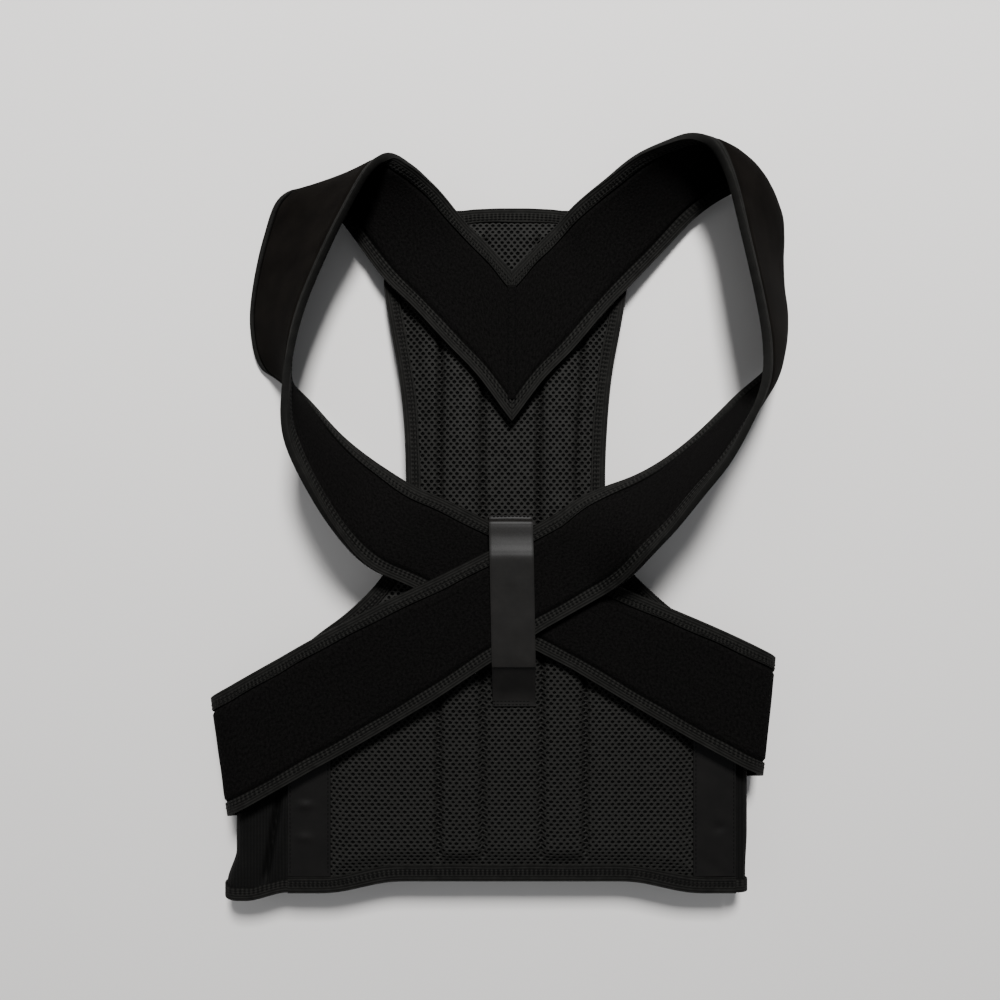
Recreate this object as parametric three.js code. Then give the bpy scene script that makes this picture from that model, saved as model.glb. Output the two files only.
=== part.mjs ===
// Posture corrector lying on the floor with its back side up, in millimetres.
// +X is the wearer's right, +Y points to the neck, +Z is up; the origin is the bottom centre of the whole.
import * as THREE from "three";

// Driving sizes of the back panel
const panelLength = 407;
const lumbarWidth = 263;
const spineWidth = 117;
const shoulderWidth = 146;
const neckWidth = 74;
const panelEdge = 4;
const padRise = 2.5;
const channelWidth = 24;
const channelSpacing = 60;
const channelRise = 2.5;
const hemRise = 7;
const lumbarLift = 20;
const neckLift = 3;

// Driving sizes of the straps and their bindings
const strapWidth = 56;
const tailWidth = 66;
const strapThickness = 4.4;
const strapEdge = 1.4;
const loopReach = 150;
const loopHeight = 60;
const lowerCrossing = 180.5;
const upperCrossing = 177;
const frontRun = 140;
const wrapStandOff = 11.4;
const bindingWidth = 9;
const bindingThickness = 0.9;
const bindingEase = 0.2;

// Driving sizes of the belt, the tapes and the keeper
const wingHeight = 116;
const wingThickness = 2;
const wingDrop = 5;
const wingFlare = 9;
const wingTaper = 1;
const leftWingReach = 30;
const rightWingReach = 8.9;
const closureOverlap = 50;
const hookHeight = 80;
const tapeWidth = 25;
const tapeThickness = 0.8;
const tapeLength = 106;
const keeperWidth = 25;
const keeperThickness = 0.8;
const keeperFoot = 15;
const clearance = 0.3;

// Values that follow from the driving sizes
const halfLumbar = lumbarWidth / 2;
const panelMiddle = lumbarLift + panelEdge / 2;
const neckMiddle = neckLift + panelEdge / 2;
const bindingReach = clearance + bindingThickness;
const strapHalf = Math.max(strapThickness / 2, strapEdge / 2 + bindingEase + bindingReach);
const paddedTop = panelEdge / 2 + padRise;
const lowerLayer = panelMiddle + paddedTop + channelRise + clearance + strapHalf;
const upperLayer = lowerLayer + 2 * strapHalf + clearance;
const floorLayer = strapHalf;
const outerWingLayer = 2 * strapHalf + clearance + wingThickness / 2;
const innerWingLayer = outerWingLayer + wingThickness + 2 * bindingReach + clearance;

const smoothstep = (low, high, value) => {
  const t = Math.min(1, Math.max(0, (value - low) / (high - low)));
  return t * t * (3 - 2 * t);
};
const radians = THREE.MathUtils.degToRad;

// The panel's middle surface: level under the lumbar part, then down to the neck end.
const slopeStart = 0.4 * panelLength;
const middleHeight = (y) =>
  panelMiddle - (panelMiddle - neckMiddle) * smoothstep(slopeStart, panelLength, y);

// Outline of the panel: a row for each height, as a share of the length, with the half widths to the
// left and to the right as shares of the named width that the row follows.
const outlineRows = [
  { along: 0, width: lumbarWidth, left: 0.5, right: 0.5 },
  { along: 0.026, width: lumbarWidth, left: 0.5, right: 0.5 },
  { along: 0.1, width: lumbarWidth, left: 0.5, right: 0.5 },
  { along: 0.19, width: lumbarWidth, left: 0.5, right: 0.5 },
  { along: 0.3, width: lumbarWidth, left: 0.5, right: 0.5 },
  { along: 0.345, width: lumbarWidth, left: 0.475, right: 0.48 },
  { along: 0.37, width: lumbarWidth, left: 0.43, right: 0.435 },
  { along: 0.395, width: lumbarWidth, left: 0.375, right: 0.375 },
  { along: 0.43, width: lumbarWidth, left: 0.315, right: 0.31 },
  { along: 0.465, width: spineWidth, left: 0.615, right: 0.575 },
  { along: 0.5, width: spineWidth, left: 0.55, right: 0.49 },
  { along: 0.55, width: spineWidth, left: 0.525, right: 0.465 },
  { along: 0.61, width: spineWidth, left: 0.53, right: 0.465 },
  { along: 0.68, width: spineWidth, left: 0.54, right: 0.48 },
  { along: 0.75, width: spineWidth, left: 0.57, right: 0.505 },
  { along: 0.82, width: shoulderWidth, left: 0.495, right: 0.445 },
  { along: 0.88, width: shoulderWidth, left: 0.525, right: 0.475 },
  { along: 0.905, width: shoulderWidth, left: 0.525, right: 0.475 },
  { along: 0.94, width: shoulderWidth, left: 0.425, right: 0.395 },
  { along: 0.974, width: neckWidth, left: 0.64, right: 0.66 },
  { along: 1, width: neckWidth, left: 0.49, right: 0.51 },
].map(({ along, width, left, right }) => ({
  y: along * panelLength,
  left: -left * width,
  right: right * width,
}));

// The bottom edge rises between the two lumbar corners, and the rise dies out up the panel.
const hemShift = (x, y) =>
  hemRise * smoothstep(0.84 * halfLumbar, 0.5 * halfLumbar, Math.abs(x)) * (1 - smoothstep(0, 60, y));

// Columns of the panel: the edge, the line where the binding ends, and the lines of the stay channels.
const padInset = (y) => (y < 0.31 * panelLength ? tapeWidth : bindingWidth) + 1.5;
const seamLines = [-0.5, -0.3, 0, 0.3, 0.5].map((share) => channelSpacing / 2 + share * channelWidth);
const edgeSlope = (row, side) => {
  const before = outlineRows[Math.max(0, row - 1)];
  const here = outlineRows[row];
  const after = outlineRows[Math.min(outlineRows.length - 1, row + 1)];
  const slopes = [before, after]
    .filter((other) => other !== here)
    .map((other) => Math.abs((other[side] - here[side]) / (other.y - here.y)));
  return Math.max(...slopes);
};
const columnsOf = (row) => {
  const { left, right } = outlineRows[row];
  const half = (edge, side) => {
    const inset = padInset(outlineRows[row].y) * Math.hypot(1, edgeSlope(row, side));
    const inner = Math.abs(edge) - inset;
    const outerSeam = seamLines.at(-1);
    const squeeze = Math.min(1, (0.9 * inner) / outerSeam);
    const seams = seamLines.map((line) => line * squeeze);
    const between = [0.25, 0.5, 0.75].map((share) =>
      THREE.MathUtils.lerp(outerSeam * squeeze, inner, share),
    );
    return [...seams, ...between, inner, Math.abs(edge)];
  };
  return [
    ...half(left, "left").reverse().map((x) => -x),
    0,
    ...half(right, "right"),
  ];
};
const panelColumns = outlineRows.map((_, row) => columnsOf(row));

// Height of the quilted face over the panel's edge: the pad, and the round tops of the two channels.
const faceRise = (column, row) => {
  const columns = panelColumns[row];
  const last = columns.length - 1;
  if (column < 2 || column > last - 2 || row < 2 || row > outlineRows.length - 3) {
    return 0;
  }
  const centre = last / 2;
  const line = Math.abs(column - centre);
  const crest = [0, 0, 0.8, 1, 0.8, 0][line] ?? 0;
  const sag = line === 1 || line === 5 ? -0.5 : 0;
  return padRise + crest * channelRise + sag;
};

const material = (color, roughness) =>
  new THREE.MeshStandardMaterial({ color, roughness, metalness: 0 });
const plush = material(0x101012, 0.95);
const woven = material(0x1c1c1a, 0.8);
const airMesh = material(0x1a1a1a, 0.85);
const satin = material(0x2e2c2a, 0.45);
const elastic = material(0x171717, 0.8);
const hook = material(0x0d0d0d, 0.7);

const group = new THREE.Group();
const addMesh = (name, geometry, finish) => {
  const mesh = new THREE.Mesh(geometry, finish);
  mesh.name = name;
  group.add(mesh);
  return mesh;
};

// A closed mesh from points and triangles, turned so that its faces point outwards.
const closedGeometry = (points, triangles) => {
  let volume = 0;
  for (const [a, b, c] of triangles) {
    volume += points[a].dot(new THREE.Vector3().crossVectors(points[b], points[c]));
  }
  const index = volume > 0 ? triangles : triangles.map(([a, b, c]) => [a, c, b]);
  const geometry = new THREE.BufferGeometry().setFromPoints(points);
  geometry.setIndex(index.flat());
  geometry.computeVertexNormals();
  return geometry;
};

// A solid between two grids of points, closed round its rim.
const slab = (top, bottom) => {
  const rows = top.length;
  const columns = top[0].length;
  const points = [...top.flat(), ...bottom.flat()];
  const upper = (r, c) => r * columns + c;
  const lower = (r, c) => rows * columns + r * columns + c;
  const triangles = [];
  const quad = (a, b, c, d) => triangles.push([a, b, c], [a, c, d]);
  for (let r = 0; r + 1 < rows; r += 1) {
    for (let c = 0; c + 1 < columns; c += 1) {
      quad(upper(r, c), upper(r, c + 1), upper(r + 1, c + 1), upper(r + 1, c));
      quad(lower(r, c), lower(r + 1, c), lower(r + 1, c + 1), lower(r, c + 1));
    }
    quad(upper(r, 0), upper(r + 1, 0), lower(r + 1, 0), lower(r, 0));
    quad(upper(r + 1, columns - 1), upper(r, columns - 1), lower(r, columns - 1), lower(r + 1, columns - 1));
  }
  for (let c = 0; c + 1 < columns; c += 1) {
    quad(upper(0, c + 1), upper(0, c), lower(0, c), lower(0, c + 1));
    quad(upper(rows - 1, c), upper(rows - 1, c + 1), lower(rows - 1, c + 1), lower(rows - 1, c));
  }
  return closedGeometry(points, triangles);
};

// A solid carried through rings of points, with the triangles of its caps as places in a ring.
const loft = (rings, cap) => {
  const count = rings[0].length;
  const triangles = [];
  for (let ring = 0; ring + 1 < rings.length; ring += 1) {
    for (let k = 0; k < count; k += 1) {
      const next = (k + 1) % count;
      const [a, b] = [ring * count + k, ring * count + next];
      triangles.push([a, b, b + count], [a, b + count, a + count]);
    }
  }
  const last = (rings.length - 1) * count;
  for (const [a, b, c] of cap) {
    triangles.push([a, c, b], [last + a, last + b, last + c]);
  }
  return closedGeometry(rings.flat(), triangles);
};

// The U of a binding folded over an edge: reach is how far it covers, half is half of the thickness
// that it covers, and the first coordinate runs from the edge inwards.
const foldedProfile = (reach, half) => {
  const inside = half + clearance;
  const outside = inside + bindingThickness;
  return [
    [0, -0.6 * outside],
    [0.5 * bindingThickness, -outside],
    [reach, -outside],
    [reach, -inside],
    [bindingThickness, -inside],
    [bindingThickness, inside],
    [reach, inside],
    [reach, outside],
    [0.5 * bindingThickness, outside],
    [0, 0.6 * outside],
  ];
};
const foldedCap = [[1, 2, 3], [1, 3, 4], [0, 1, 4], [0, 4, 5], [0, 5, 8], [0, 8, 9], [5, 6, 7], [5, 7, 8]];

// Back panel
const panelPoint = (column, row, height) => {
  const x = panelColumns[row][column];
  const y = outlineRows[row].y + hemShift(x, outlineRows[row].y);
  return new THREE.Vector3(x, y, middleHeight(y) + height);
};
const panelGrid = (height) =>
  outlineRows.map((_, row) =>
    panelColumns[row].map((_x, column) => panelPoint(column, row, height(column, row))),
  );
const panelFace = panelGrid((column, row) => panelEdge / 2 + faceRise(column, row));
const panelLining = panelGrid(() => -panelEdge / 2);
addMesh("back_panel", slab(panelFace, panelLining), airMesh);

// Bindings of the panel: the profile follows an open line of edge points in plan.
const edgeBinding = (line, reach = bindingWidth) => {
  const outward = (from, to) =>
    new THREE.Vector2(to.y - from.y, from.x - to.x).normalize();
  const profile = foldedProfile(reach, panelEdge / 2);
  const rings = line.map((point, i) => {
    const before = outward(line[Math.max(0, i - 1)], line[Math.max(1, i)]);
    const after = outward(line[Math.min(i, line.length - 2)], line[Math.min(i + 1, line.length - 1)]);
    const mitre = before.clone().add(after).divideScalar(1 + before.dot(after));
    return profile.map(([inwards, height]) => {
      const shift = bindingReach - inwards;
      const x = point.x + mitre.x * shift;
      const y = point.y + mitre.y * shift;
      return new THREE.Vector3(x, y, middleHeight(y) + height);
    });
  });
  return loft(rings, foldedCap);
};
const sideLine = (side) =>
  outlineRows
    .map((row) => new THREE.Vector2(row[side], row.y))
    .filter(({ y }) => y >= wingHeight + bindingReach);
addMesh(
  "panel_binding",
  edgeBinding([...sideLine("right"), ...sideLine("left").reverse()]),
  woven,
);
const bottomLine = panelFace[0].map(({ x, y }) => new THREE.Vector2(x, y));
addMesh("hem_binding", edgeBinding(bottomLine, bindingWidth + 1), woven);

// Catmull-Rom through the rows of a table, column by column, with a number of steps for each row.
const smoothRows = (rows, steps) => {
  const keys = Object.keys(rows[0]).filter((key) => key !== "steps");
  const at = (i) => rows[Math.min(rows.length - 1, Math.max(0, i))];
  const blend = (i, t) =>
    Object.fromEntries(
      keys.map((key) => {
        const [a, b, c, d] = [at(i - 1)[key], at(i)[key], at(i + 1)[key], at(i + 2)[key]];
        const cubic = (3 * b - a - 3 * c + d) * t * t * t;
        const square = (2 * a - 5 * b + 4 * c - d) * t * t;
        return [key, (2 * b + (c - a) * t + square + cubic) / 2];
      }),
    );
  const smooth = rows.slice(0, -1).flatMap((row, i) => {
    const count = row.steps ?? steps;
    return Array.from({ length: count }, (_, k) => blend(i, k / count));
  });
  return [...smooth, at(rows.length - 1)];
};

// Frames along a strap: its centre, the direction from the inner to the outer edge, which lies in plan
// at the side angle and dips by the tilt, and the normal of its plush face.
const strapFrames = (rows) => {
  const centres = rows.map(({ x, y, z }) => new THREE.Vector3(x, y, z));
  return rows.map(({ side, tilt, width, bow }, i) => {
    const [turn, dip] = [radians(side), radians(tilt)];
    const across = new THREE.Vector3(
      Math.cos(turn) * Math.cos(dip),
      Math.sin(turn) * Math.cos(dip),
      -Math.sin(dip),
    );
    const travel = centres[Math.min(i + 1, rows.length - 1)]
      .clone()
      .sub(centres[Math.max(i - 1, 0)])
      .normalize();
    const normal = new THREE.Vector3().crossVectors(across, travel);
    const slant = 1 / normal.length();
    return { centre: centres[i], across, normal: normal.normalize(), half: width / 2, slant, bow };
  });
};

// A ring of a strap: its offsets across and along the normal, on a band that bows between its edges.
const ringAt = ({ centre, across, normal, half, bow }, offsets) =>
  offsets.map(([w, n]) =>
    centre
      .clone()
      .addScaledVector(across, w)
      .addScaledVector(normal, n + bow * (1 - (w / half) ** 2)),
  );

const strapCore = (frames) => {
  const [thin, thick] = [strapEdge / 2, strapThickness / 2];
  const outline = (half, slant) => {
    const edge = half - bindingReach * slant;
    const flat = half - (bindingWidth + 3 * clearance) * slant;
    const crown = flat - strapThickness * slant;
    const face = [
      [-edge, thin],
      [-flat, thin],
      [-crown, 0.85 * thick],
      [0, thick],
      [crown, 0.85 * thick],
      [flat, thin],
      [edge, thin],
    ];
    return [...face, ...[...face].reverse().map(([w, n]) => [w, -n])];
  };
  const rings = frames.map((frame) => ringAt(frame, outline(frame.half, frame.slant)));
  const last = rings[0].length - 1;
  const cap = [0, 1, 2, 3, 4, 5].flatMap((k) => [
    [k, k + 1, last - 1 - k],
    [k, last - 1 - k, last - k],
  ]);
  return loft(rings, cap);
};
const strapBinding = (frames, direction) => {
  const folded = foldedProfile(bindingWidth, strapEdge / 2 + bindingEase);
  const profile = direction > 0 ? folded.reverse() : folded;
  const rings = frames.map((frame) =>
    ringAt(
      frame,
      profile.map(([inwards, height]) => [direction * (frame.half - inwards * frame.slant), height]),
    ),
  );
  return loft(rings, foldedCap);
};

// Arms of the V yoke: x is a share of the loop's reach and y of the panel's length. side is the angle
// in plan from the inner to the outer edge, and wide a share of the strap's width, along that line.
const leftYoke = [
  { x: -0.004, y: 0.797, side: 270, wide: 1.53 },
  { x: -0.09, y: 0.832, side: 261, wide: 1.34 },
  { x: -0.18, y: 0.868, side: 251, wide: 1.2 },
  { x: -0.28, y: 0.907, side: 238, wide: 1.08 },
];
const rightYoke = [
  { x: 0.004, y: 0.797, side: 270, wide: 1.53 },
  { x: 0.09, y: 0.83, side: 277, wide: 1.38 },
  { x: 0.18, y: 0.865, side: 285, wide: 1.25 },
  { x: 0.265, y: 0.9, side: 294, wide: 1.12 },
];

// Arm loops, from the yoke to the crossing. low is the height of the outer edge as a share of the
// loop's height, tilt how far the outer edge dips below the inner one, and bow how far the middle of
// the strap swells towards its body side, as a share of its width.
const leftLoop = [
  { x: -0.37, y: 0.942, low: 0.22, side: 227, tilt: 6, wide: 1.06, bow: 0 },
  { x: -0.475, y: 0.989, low: 0.14, side: 209, tilt: 18, wide: 1.04, bow: 0.02 },
  { x: -0.56, y: 1.02, low: 0.11, side: 197, tilt: 26, wide: 1.08, bow: 0.02, steps: 4 },
  { x: -0.655, y: 1.038, low: 0.13, side: 190, tilt: 25, wide: 1.17, bow: 0.03, steps: 5 },
  { x: -0.74, y: 1.018, low: 0.13, side: 186, tilt: 28, wide: 1.26, bow: 0.05, steps: 4 },
  { x: -0.815, y: 0.964, low: 0.09, side: 184, tilt: 32, wide: 1.2, bow: 0.05 },
  { x: -0.876, y: 0.907, low: 0.05, side: 183, tilt: 36, wide: 1.12, bow: 0.03 },
  { x: -0.925, y: 0.842, low: 0.04, side: 177, tilt: 43, wide: 1.03, bow: 0.03 },
  { x: -0.938, y: 0.788, low: 0.035, side: 168, tilt: 51, wide: 1.01, bow: 0.06 },
  { x: -0.93, y: 0.746, low: 0.035, side: 149, tilt: 56, wide: 1.02, bow: 0.12 },
  { x: -0.9, y: 0.715, low: 0.04, side: 120, tilt: 56, wide: 1.04, bow: 0.13 },
  { x: -0.83, y: 0.675, low: 0.07, side: 94, tilt: 56, wide: 1.03, bow: 0.08 },
  { x: -0.715, y: 0.617, low: 0.15, side: 77, tilt: 52, wide: 1.01, bow: 0.03 },
  { x: -0.595, y: 0.568, low: 0.25, side: 68, tilt: 37, wide: 0.99, bow: 0 },
  { x: -0.465, y: 0.528, low: 0.41, side: 64, tilt: 15, wide: 0.97, bow: 0 },
];
const rightLoop = [
  { x: 0.345, y: 0.932, low: 0.22, side: 302, tilt: 8, wide: 1.05, bow: 0 },
  { x: 0.48, y: 0.978, low: 0.13, side: 316, tilt: 22, wide: 1.0, bow: 0.02 },
  { x: 0.61, y: 1.02, low: 0.09, side: 330, tilt: 33, wide: 1.02, bow: 0.04 },
  { x: 0.735, y: 1.045, low: 0.09, side: 340, tilt: 36, wide: 1.05, bow: 0.08 },
  { x: 0.82, y: 1.051, low: 0.1, side: 341, tilt: 36, wide: 1.09, bow: 0.11 },
  { x: 0.895, y: 1.04, low: 0.1, side: 338, tilt: 34, wide: 1.12, bow: 0.12 },
  { x: 0.943, y: 1.016, low: 0.08, side: 337, tilt: 35, wide: 1.1, bow: 0.1 },
  { x: 0.968, y: 0.98, low: 0.06, side: 339, tilt: 40, wide: 1.05, bow: 0.06 },
  { x: 0.982, y: 0.938, low: 0.04, side: 346, tilt: 47, wide: 1.02, bow: 0.03 },
  { x: 0.998, y: 0.89, low: 0.035, side: 356, tilt: 53, wide: 1.02, bow: 0.02 },
  { x: 1.02, y: 0.838, low: 0.035, side: 367, tilt: 56, wide: 1.02, bow: 0.03 },
  { x: 1.022, y: 0.787, low: 0.04, side: 377, tilt: 60, wide: 1.02, bow: 0.06 },
  { x: 0.982, y: 0.742, low: 0.05, side: 395, tilt: 66, wide: 1.02, bow: 0.09 },
  { x: 0.888, y: 0.696, low: 0.09, side: 425, tilt: 71, wide: 1.02, bow: 0.06 },
  { x: 0.772, y: 0.642, low: 0.14, side: 453, tilt: 70, wide: 1.01, bow: 0.02 },
  { x: 0.655, y: 0.6, low: 0.2, side: 468, tilt: 66, wide: 1.0, bow: 0 },
  { x: 0.54, y: 0.565, low: 0.3, side: 477, tilt: 56, wide: 0.99, bow: 0 },
  { x: 0.42, y: 0.535, low: 0.43, side: 480, tilt: 38, wide: 0.98, bow: 0 },
];
const loopRows = (rows) =>
  rows.map(({ x, y, low, side, tilt, wide, bow, steps }) => {
    const width = wide * strapWidth;
    return {
      steps,
      x: x * loopReach,
      y: y * panelLength,
      z: low * loopHeight + (Math.sin(radians(tilt)) * width) / 2,
      side,
      tilt,
      width,
      bow: -bow * strapWidth,
    };
  });

// The yoke's arms are seated on the channels of the panel, edge by edge.
const seat = paddedTop + channelRise + clearance + strapHalf;
const yokeRows = (rows) =>
  rows.map(({ x, y, side, wide }) => {
    const width = wide * strapWidth;
    const reach = (Math.sin(radians(side)) * width) / 2;
    const outer = middleHeight(y * panelLength + reach) + seat;
    const inner = middleHeight(y * panelLength - reach) + seat;
    return {
      x: x * loopReach,
      y: y * panelLength,
      z: (outer + inner) / 2,
      side,
      tilt: THREE.MathUtils.radToDeg(Math.asin((inner - outer) / width)),
      width,
      bow: 0,
      steps: 1,
    };
  });

// From the crossing a strap runs straight down to the side of the belt, wraps round it and ends on
// the belt's front. heading is the angle in plan of the straight run, fold that of the line of the
// wrap, turns whole turns that its side angles carry on from the loop, and widen the stretch of the
// run, as shares, over which it widens.
const tailRows = ({ heading, fold, turns, foldX, start, crossing, layers, widen }) => {
  const onLine = (x) => ({ x, y: crossing + x * Math.tan(radians(heading)) });
  const hand = foldX > 0 ? 1 : -1;
  const upperSide = heading + 90 * hand + 360 * turns;
  const foldSide = fold + 360 * turns;
  const lowerSide = 2 * foldSide - upperSide;
  const skew = radians(upperSide - foldSide);
  const radius = (layers.at(-1) - floorLayer) / 2;
  const turn = onLine(foldX - hand * radius);
  const [alongX, alongY] = [Math.cos(radians(fold)), Math.sin(radians(fold))];
  const row = (x, y, z, side, width) => {
    const lean = radians(side - (z > floorLayer ? upperSide : lowerSide));
    return { x, y, z, side, tilt: 0, width: width / Math.cos(lean), bow: 0, steps: 1 };
  };
  const straight = layers.map((layer, i) => {
    const share = i / (layers.length - 1);
    const { x, y } = onLine(THREE.MathUtils.lerp(start, turn.x, share));
    const side = THREE.MathUtils.lerp(upperSide, foldSide, smoothstep(0.6, 1, share));
    const width = THREE.MathUtils.lerp(strapWidth * 0.97, tailWidth, smoothstep(...widen, share));
    return row(x, y, layer, side, width);
  });
  const drift = hand * radius * Math.tan(skew);
  const wrap = [30, 60, 90, 120, 150, 180].map((angle) => {
    const [out, slide] = [hand * radius * Math.sin(radians(angle)), drift * radians(angle)];
    return row(
      turn.x + alongY * out + alongX * slide,
      turn.y - alongX * out + alongY * slide,
      floorLayer + radius * (1 + Math.cos(radians(angle))),
      foldSide,
      tailWidth,
    );
  });
  const end = wrap.at(-1);
  const back = radians(lowerSide + 90 * hand);
  const front = [0.15, 0.4, 0.7, 1].map((share) =>
    row(
      end.x + Math.cos(back) * share * frontRun,
      end.y + Math.sin(back) * share * frontRun,
      floorLayer,
      THREE.MathUtils.lerp(foldSide, lowerSide, smoothstep(0, 0.4, share)),
      tailWidth,
    ),
  );
  return [...straight, ...wrap, ...front];
};
const straps = [
  {
    name: "left",
    rows: [
      ...yokeRows(leftYoke),
      ...loopRows(leftLoop),
      ...tailRows({
        heading: -27,
        fold: 84,
        turns: 0,
        foldX: halfLumbar + rightWingReach + wrapStandOff,
        start: -45,
        crossing: lowerCrossing,
        layers: [0, 0, 0, 0, 0].map(() => lowerLayer),
        widen: [0.45, 0.95],
      }),
    ],
  },
  {
    name: "right",
    rows: [
      ...yokeRows(rightYoke),
      ...loopRows(rightLoop),
      ...tailRows({
        heading: 209.5,
        fold: 98,
        turns: 1,
        foldX: -(halfLumbar + leftWingReach + wrapStandOff),
        start: 38,
        crossing: upperCrossing,
        layers: [1, 1, 1, 0.85, 0.3, 0, 0].map((share) =>
          THREE.MathUtils.lerp(lowerLayer, upperLayer, share),
        ),
        widen: [0.15, 0.65],
      }),
    ],
  },
];
for (const { name, rows } of straps) {
  const frames = strapFrames(smoothRows(rows, 2));
  addMesh("shoulder_strap_" + name, strapCore(frames), plush);
  addMesh(name + "_strap_binding_inner", strapBinding(frames, -1), woven);
  addMesh(name + "_strap_binding_outer", strapBinding(frames, 1), woven);
}

// Satin tapes over the seams between the panel and the wings
const tapeBottom = bindingWidth + 1 + 2 * clearance;
for (const [name, hand] of [["left", -1], ["right", 1]]) {
  const tape = addMesh(
    "side_tape_" + name,
    new THREE.BoxGeometry(tapeWidth, tapeLength - tapeBottom, tapeThickness),
    satin,
  );
  tape.position.set(
    hand * (halfLumbar - tapeWidth / 2),
    (tapeLength + tapeBottom) / 2,
    panelMiddle + panelEdge / 2 + clearance + tapeThickness / 2,
  );
}

// Keeper ribbon: its two feet are sewn to the panel between the channels, and it spans both straps.
const keeperReach = keeperWidth / 2;
const strapSpan = (strapWidth * 0.98) / 2 / Math.cos(radians(30)) + keeperReach * Math.tan(radians(30));
const keeperTop = upperLayer + strapHalf + clearance + keeperThickness / 2;
const keeperLow = panelMiddle + paddedTop + clearance + keeperThickness / 2;
const upperEnd = Math.max(lowerCrossing - 3, upperCrossing) + strapSpan;
const lowerEnd = upperCrossing - strapSpan;
const keeperLine = [
  [upperEnd + 7, keeperLow],
  [upperEnd + 3.4, keeperLow],
  [upperEnd + 2, keeperLow + 1.5],
  [upperEnd + 1.4, keeperTop - 1.2],
  [upperEnd - 0.5, keeperTop],
  [upperCrossing, keeperTop],
  [lowerEnd, keeperTop],
  [lowerEnd - 4, keeperTop - 1.5],
  [lowerEnd - 8, (keeperLow + keeperTop) / 2],
  [lowerEnd - 12, keeperLow + 1],
  [lowerEnd - 15, keeperLow],
  [lowerEnd - 15 - keeperFoot, keeperLow],
];
const ribbonGrid = (line, half, offset) =>
  line.map(([y, z], i) => {
    const before = line[Math.max(0, i - 1)];
    const after = line[Math.min(line.length - 1, i + 1)];
    const normal = new THREE.Vector2(after[1] - before[1], before[0] - after[0]).normalize();
    return [-half, half].map(
      (x) => new THREE.Vector3(x, y + normal.x * offset, z + normal.y * offset),
    );
  });
addMesh(
  "cross_keeper",
  slab(
    ribbonGrid(keeperLine, keeperReach, keeperThickness / 2),
    ribbonGrid(keeperLine, keeperReach, -keeperThickness / 2),
  ),
  satin,
);

// Belt wings: from the side of the panel outwards, round the fold and along the front of the belt.
const wingPath = (hand, reach, layer, end) => {
  const radius = (panelMiddle - layer) / 2;
  return (widening) => {
    const fold = halfLumbar + reach + widening - radius - wingThickness / 2;
    const seam = halfLumbar + clearance;
    const leaf = [0, 0.35, 0.7].map((share) => [THREE.MathUtils.lerp(seam, fold, share), panelMiddle]);
    const round = [0, 30, 60, 90, 120, 150, 180].map((angle) => [
      fold + radius * Math.sin(radians(angle)),
      layer + radius * (1 + Math.cos(radians(angle))),
    ]);
    const run = [0.1, 0.4, 0.7, 1].map((share) => [THREE.MathUtils.lerp(fold, end, share), layer]);
    return [...leaf, ...round, ...run].map(([x, z]) => new THREE.Vector2(hand * x, z));
  };
};
const normals = (line) =>
  line.map((_, i) => {
    const along = line[Math.min(line.length - 1, i + 1)].clone().sub(line[Math.max(0, i - 1)]);
    return new THREE.Vector2(-along.y, along.x).normalize();
  });
// The wing's bottom edge hangs lower round the fold than at its two ends.
const bottomsOf = (line) => {
  let run = 0;
  const runs = line.map((point, i) => {
    run += i > 0 ? point.distanceTo(line[i - 1]) : 0;
    return run;
  });
  return runs.map((at) => -wingDrop * smoothstep(0, 25, at) * (1 - smoothstep(run - 50, run, at)));
};
const wings = [
  { name: "left", hand: -1, reach: leftWingReach, layer: outerWingLayer, flare: wingFlare },
  { name: "right", hand: 1, reach: rightWingReach, layer: innerWingLayer, flare: -wingTaper },
];
for (const { name, hand, reach, layer, flare } of wings) {
  const path = wingPath(hand, reach, layer, -closureOverlap / 2);
  const hemShare = (bindingWidth + 1) / wingHeight;
  const levels = [0, hemShare, 0.15, 0.22, 0.3, 0.65, 1];
  const grid = (offset) =>
    levels.map((share) => {
      const line = path(flare * (1 - smoothstep(hemShare, 0.3, share)));
      const across = normals(line);
      const bottoms = bottomsOf(line);
      return line.map(
        (point, i) =>
          new THREE.Vector3(
            point.x + across[i].x * offset,
            THREE.MathUtils.lerp(bottoms[i], wingHeight, share),
            point.y + across[i].y * offset,
          ),
      );
    });
  addMesh("belt_wing_" + name, slab(grid(wingThickness / 2), grid(-wingThickness / 2)), elastic);
  const hemProfile = foldedProfile(bindingWidth, wingThickness / 2);
  const line = path(flare);
  const across = normals(line);
  const bottoms = bottomsOf(line);
  const rings = line.map((point, i) =>
    hemProfile.map(
      ([inwards, height]) =>
        new THREE.Vector3(
          point.x + across[i].x * height,
          bottoms[i] - bindingReach + inwards,
          point.y + across[i].y * height,
        ),
    ),
  );
  addMesh("wing_hem_" + name, loft(rings, foldedCap), woven);
}

// Hook patch that closes the two wings at the front
const hookThickness = innerWingLayer - outerWingLayer - wingThickness - 2 * clearance;
const hookTab = addMesh(
  "hook_tab",
  new THREE.BoxGeometry(closureOverlap - 6, hookHeight, hookThickness),
  hook,
);
hookTab.position.set(0, wingHeight / 2, (innerWingLayer + outerWingLayer) / 2);

// The origin of the whole is the bottom centre of its box.
const box = new THREE.Box3().setFromObject(group, true);
const centre = box.getCenter(new THREE.Vector3());
group.position.set(-centre.x, -centre.y, -box.min.z);

export default group;
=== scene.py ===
"""Looks of the posture corrector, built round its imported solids."""

import math

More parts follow.
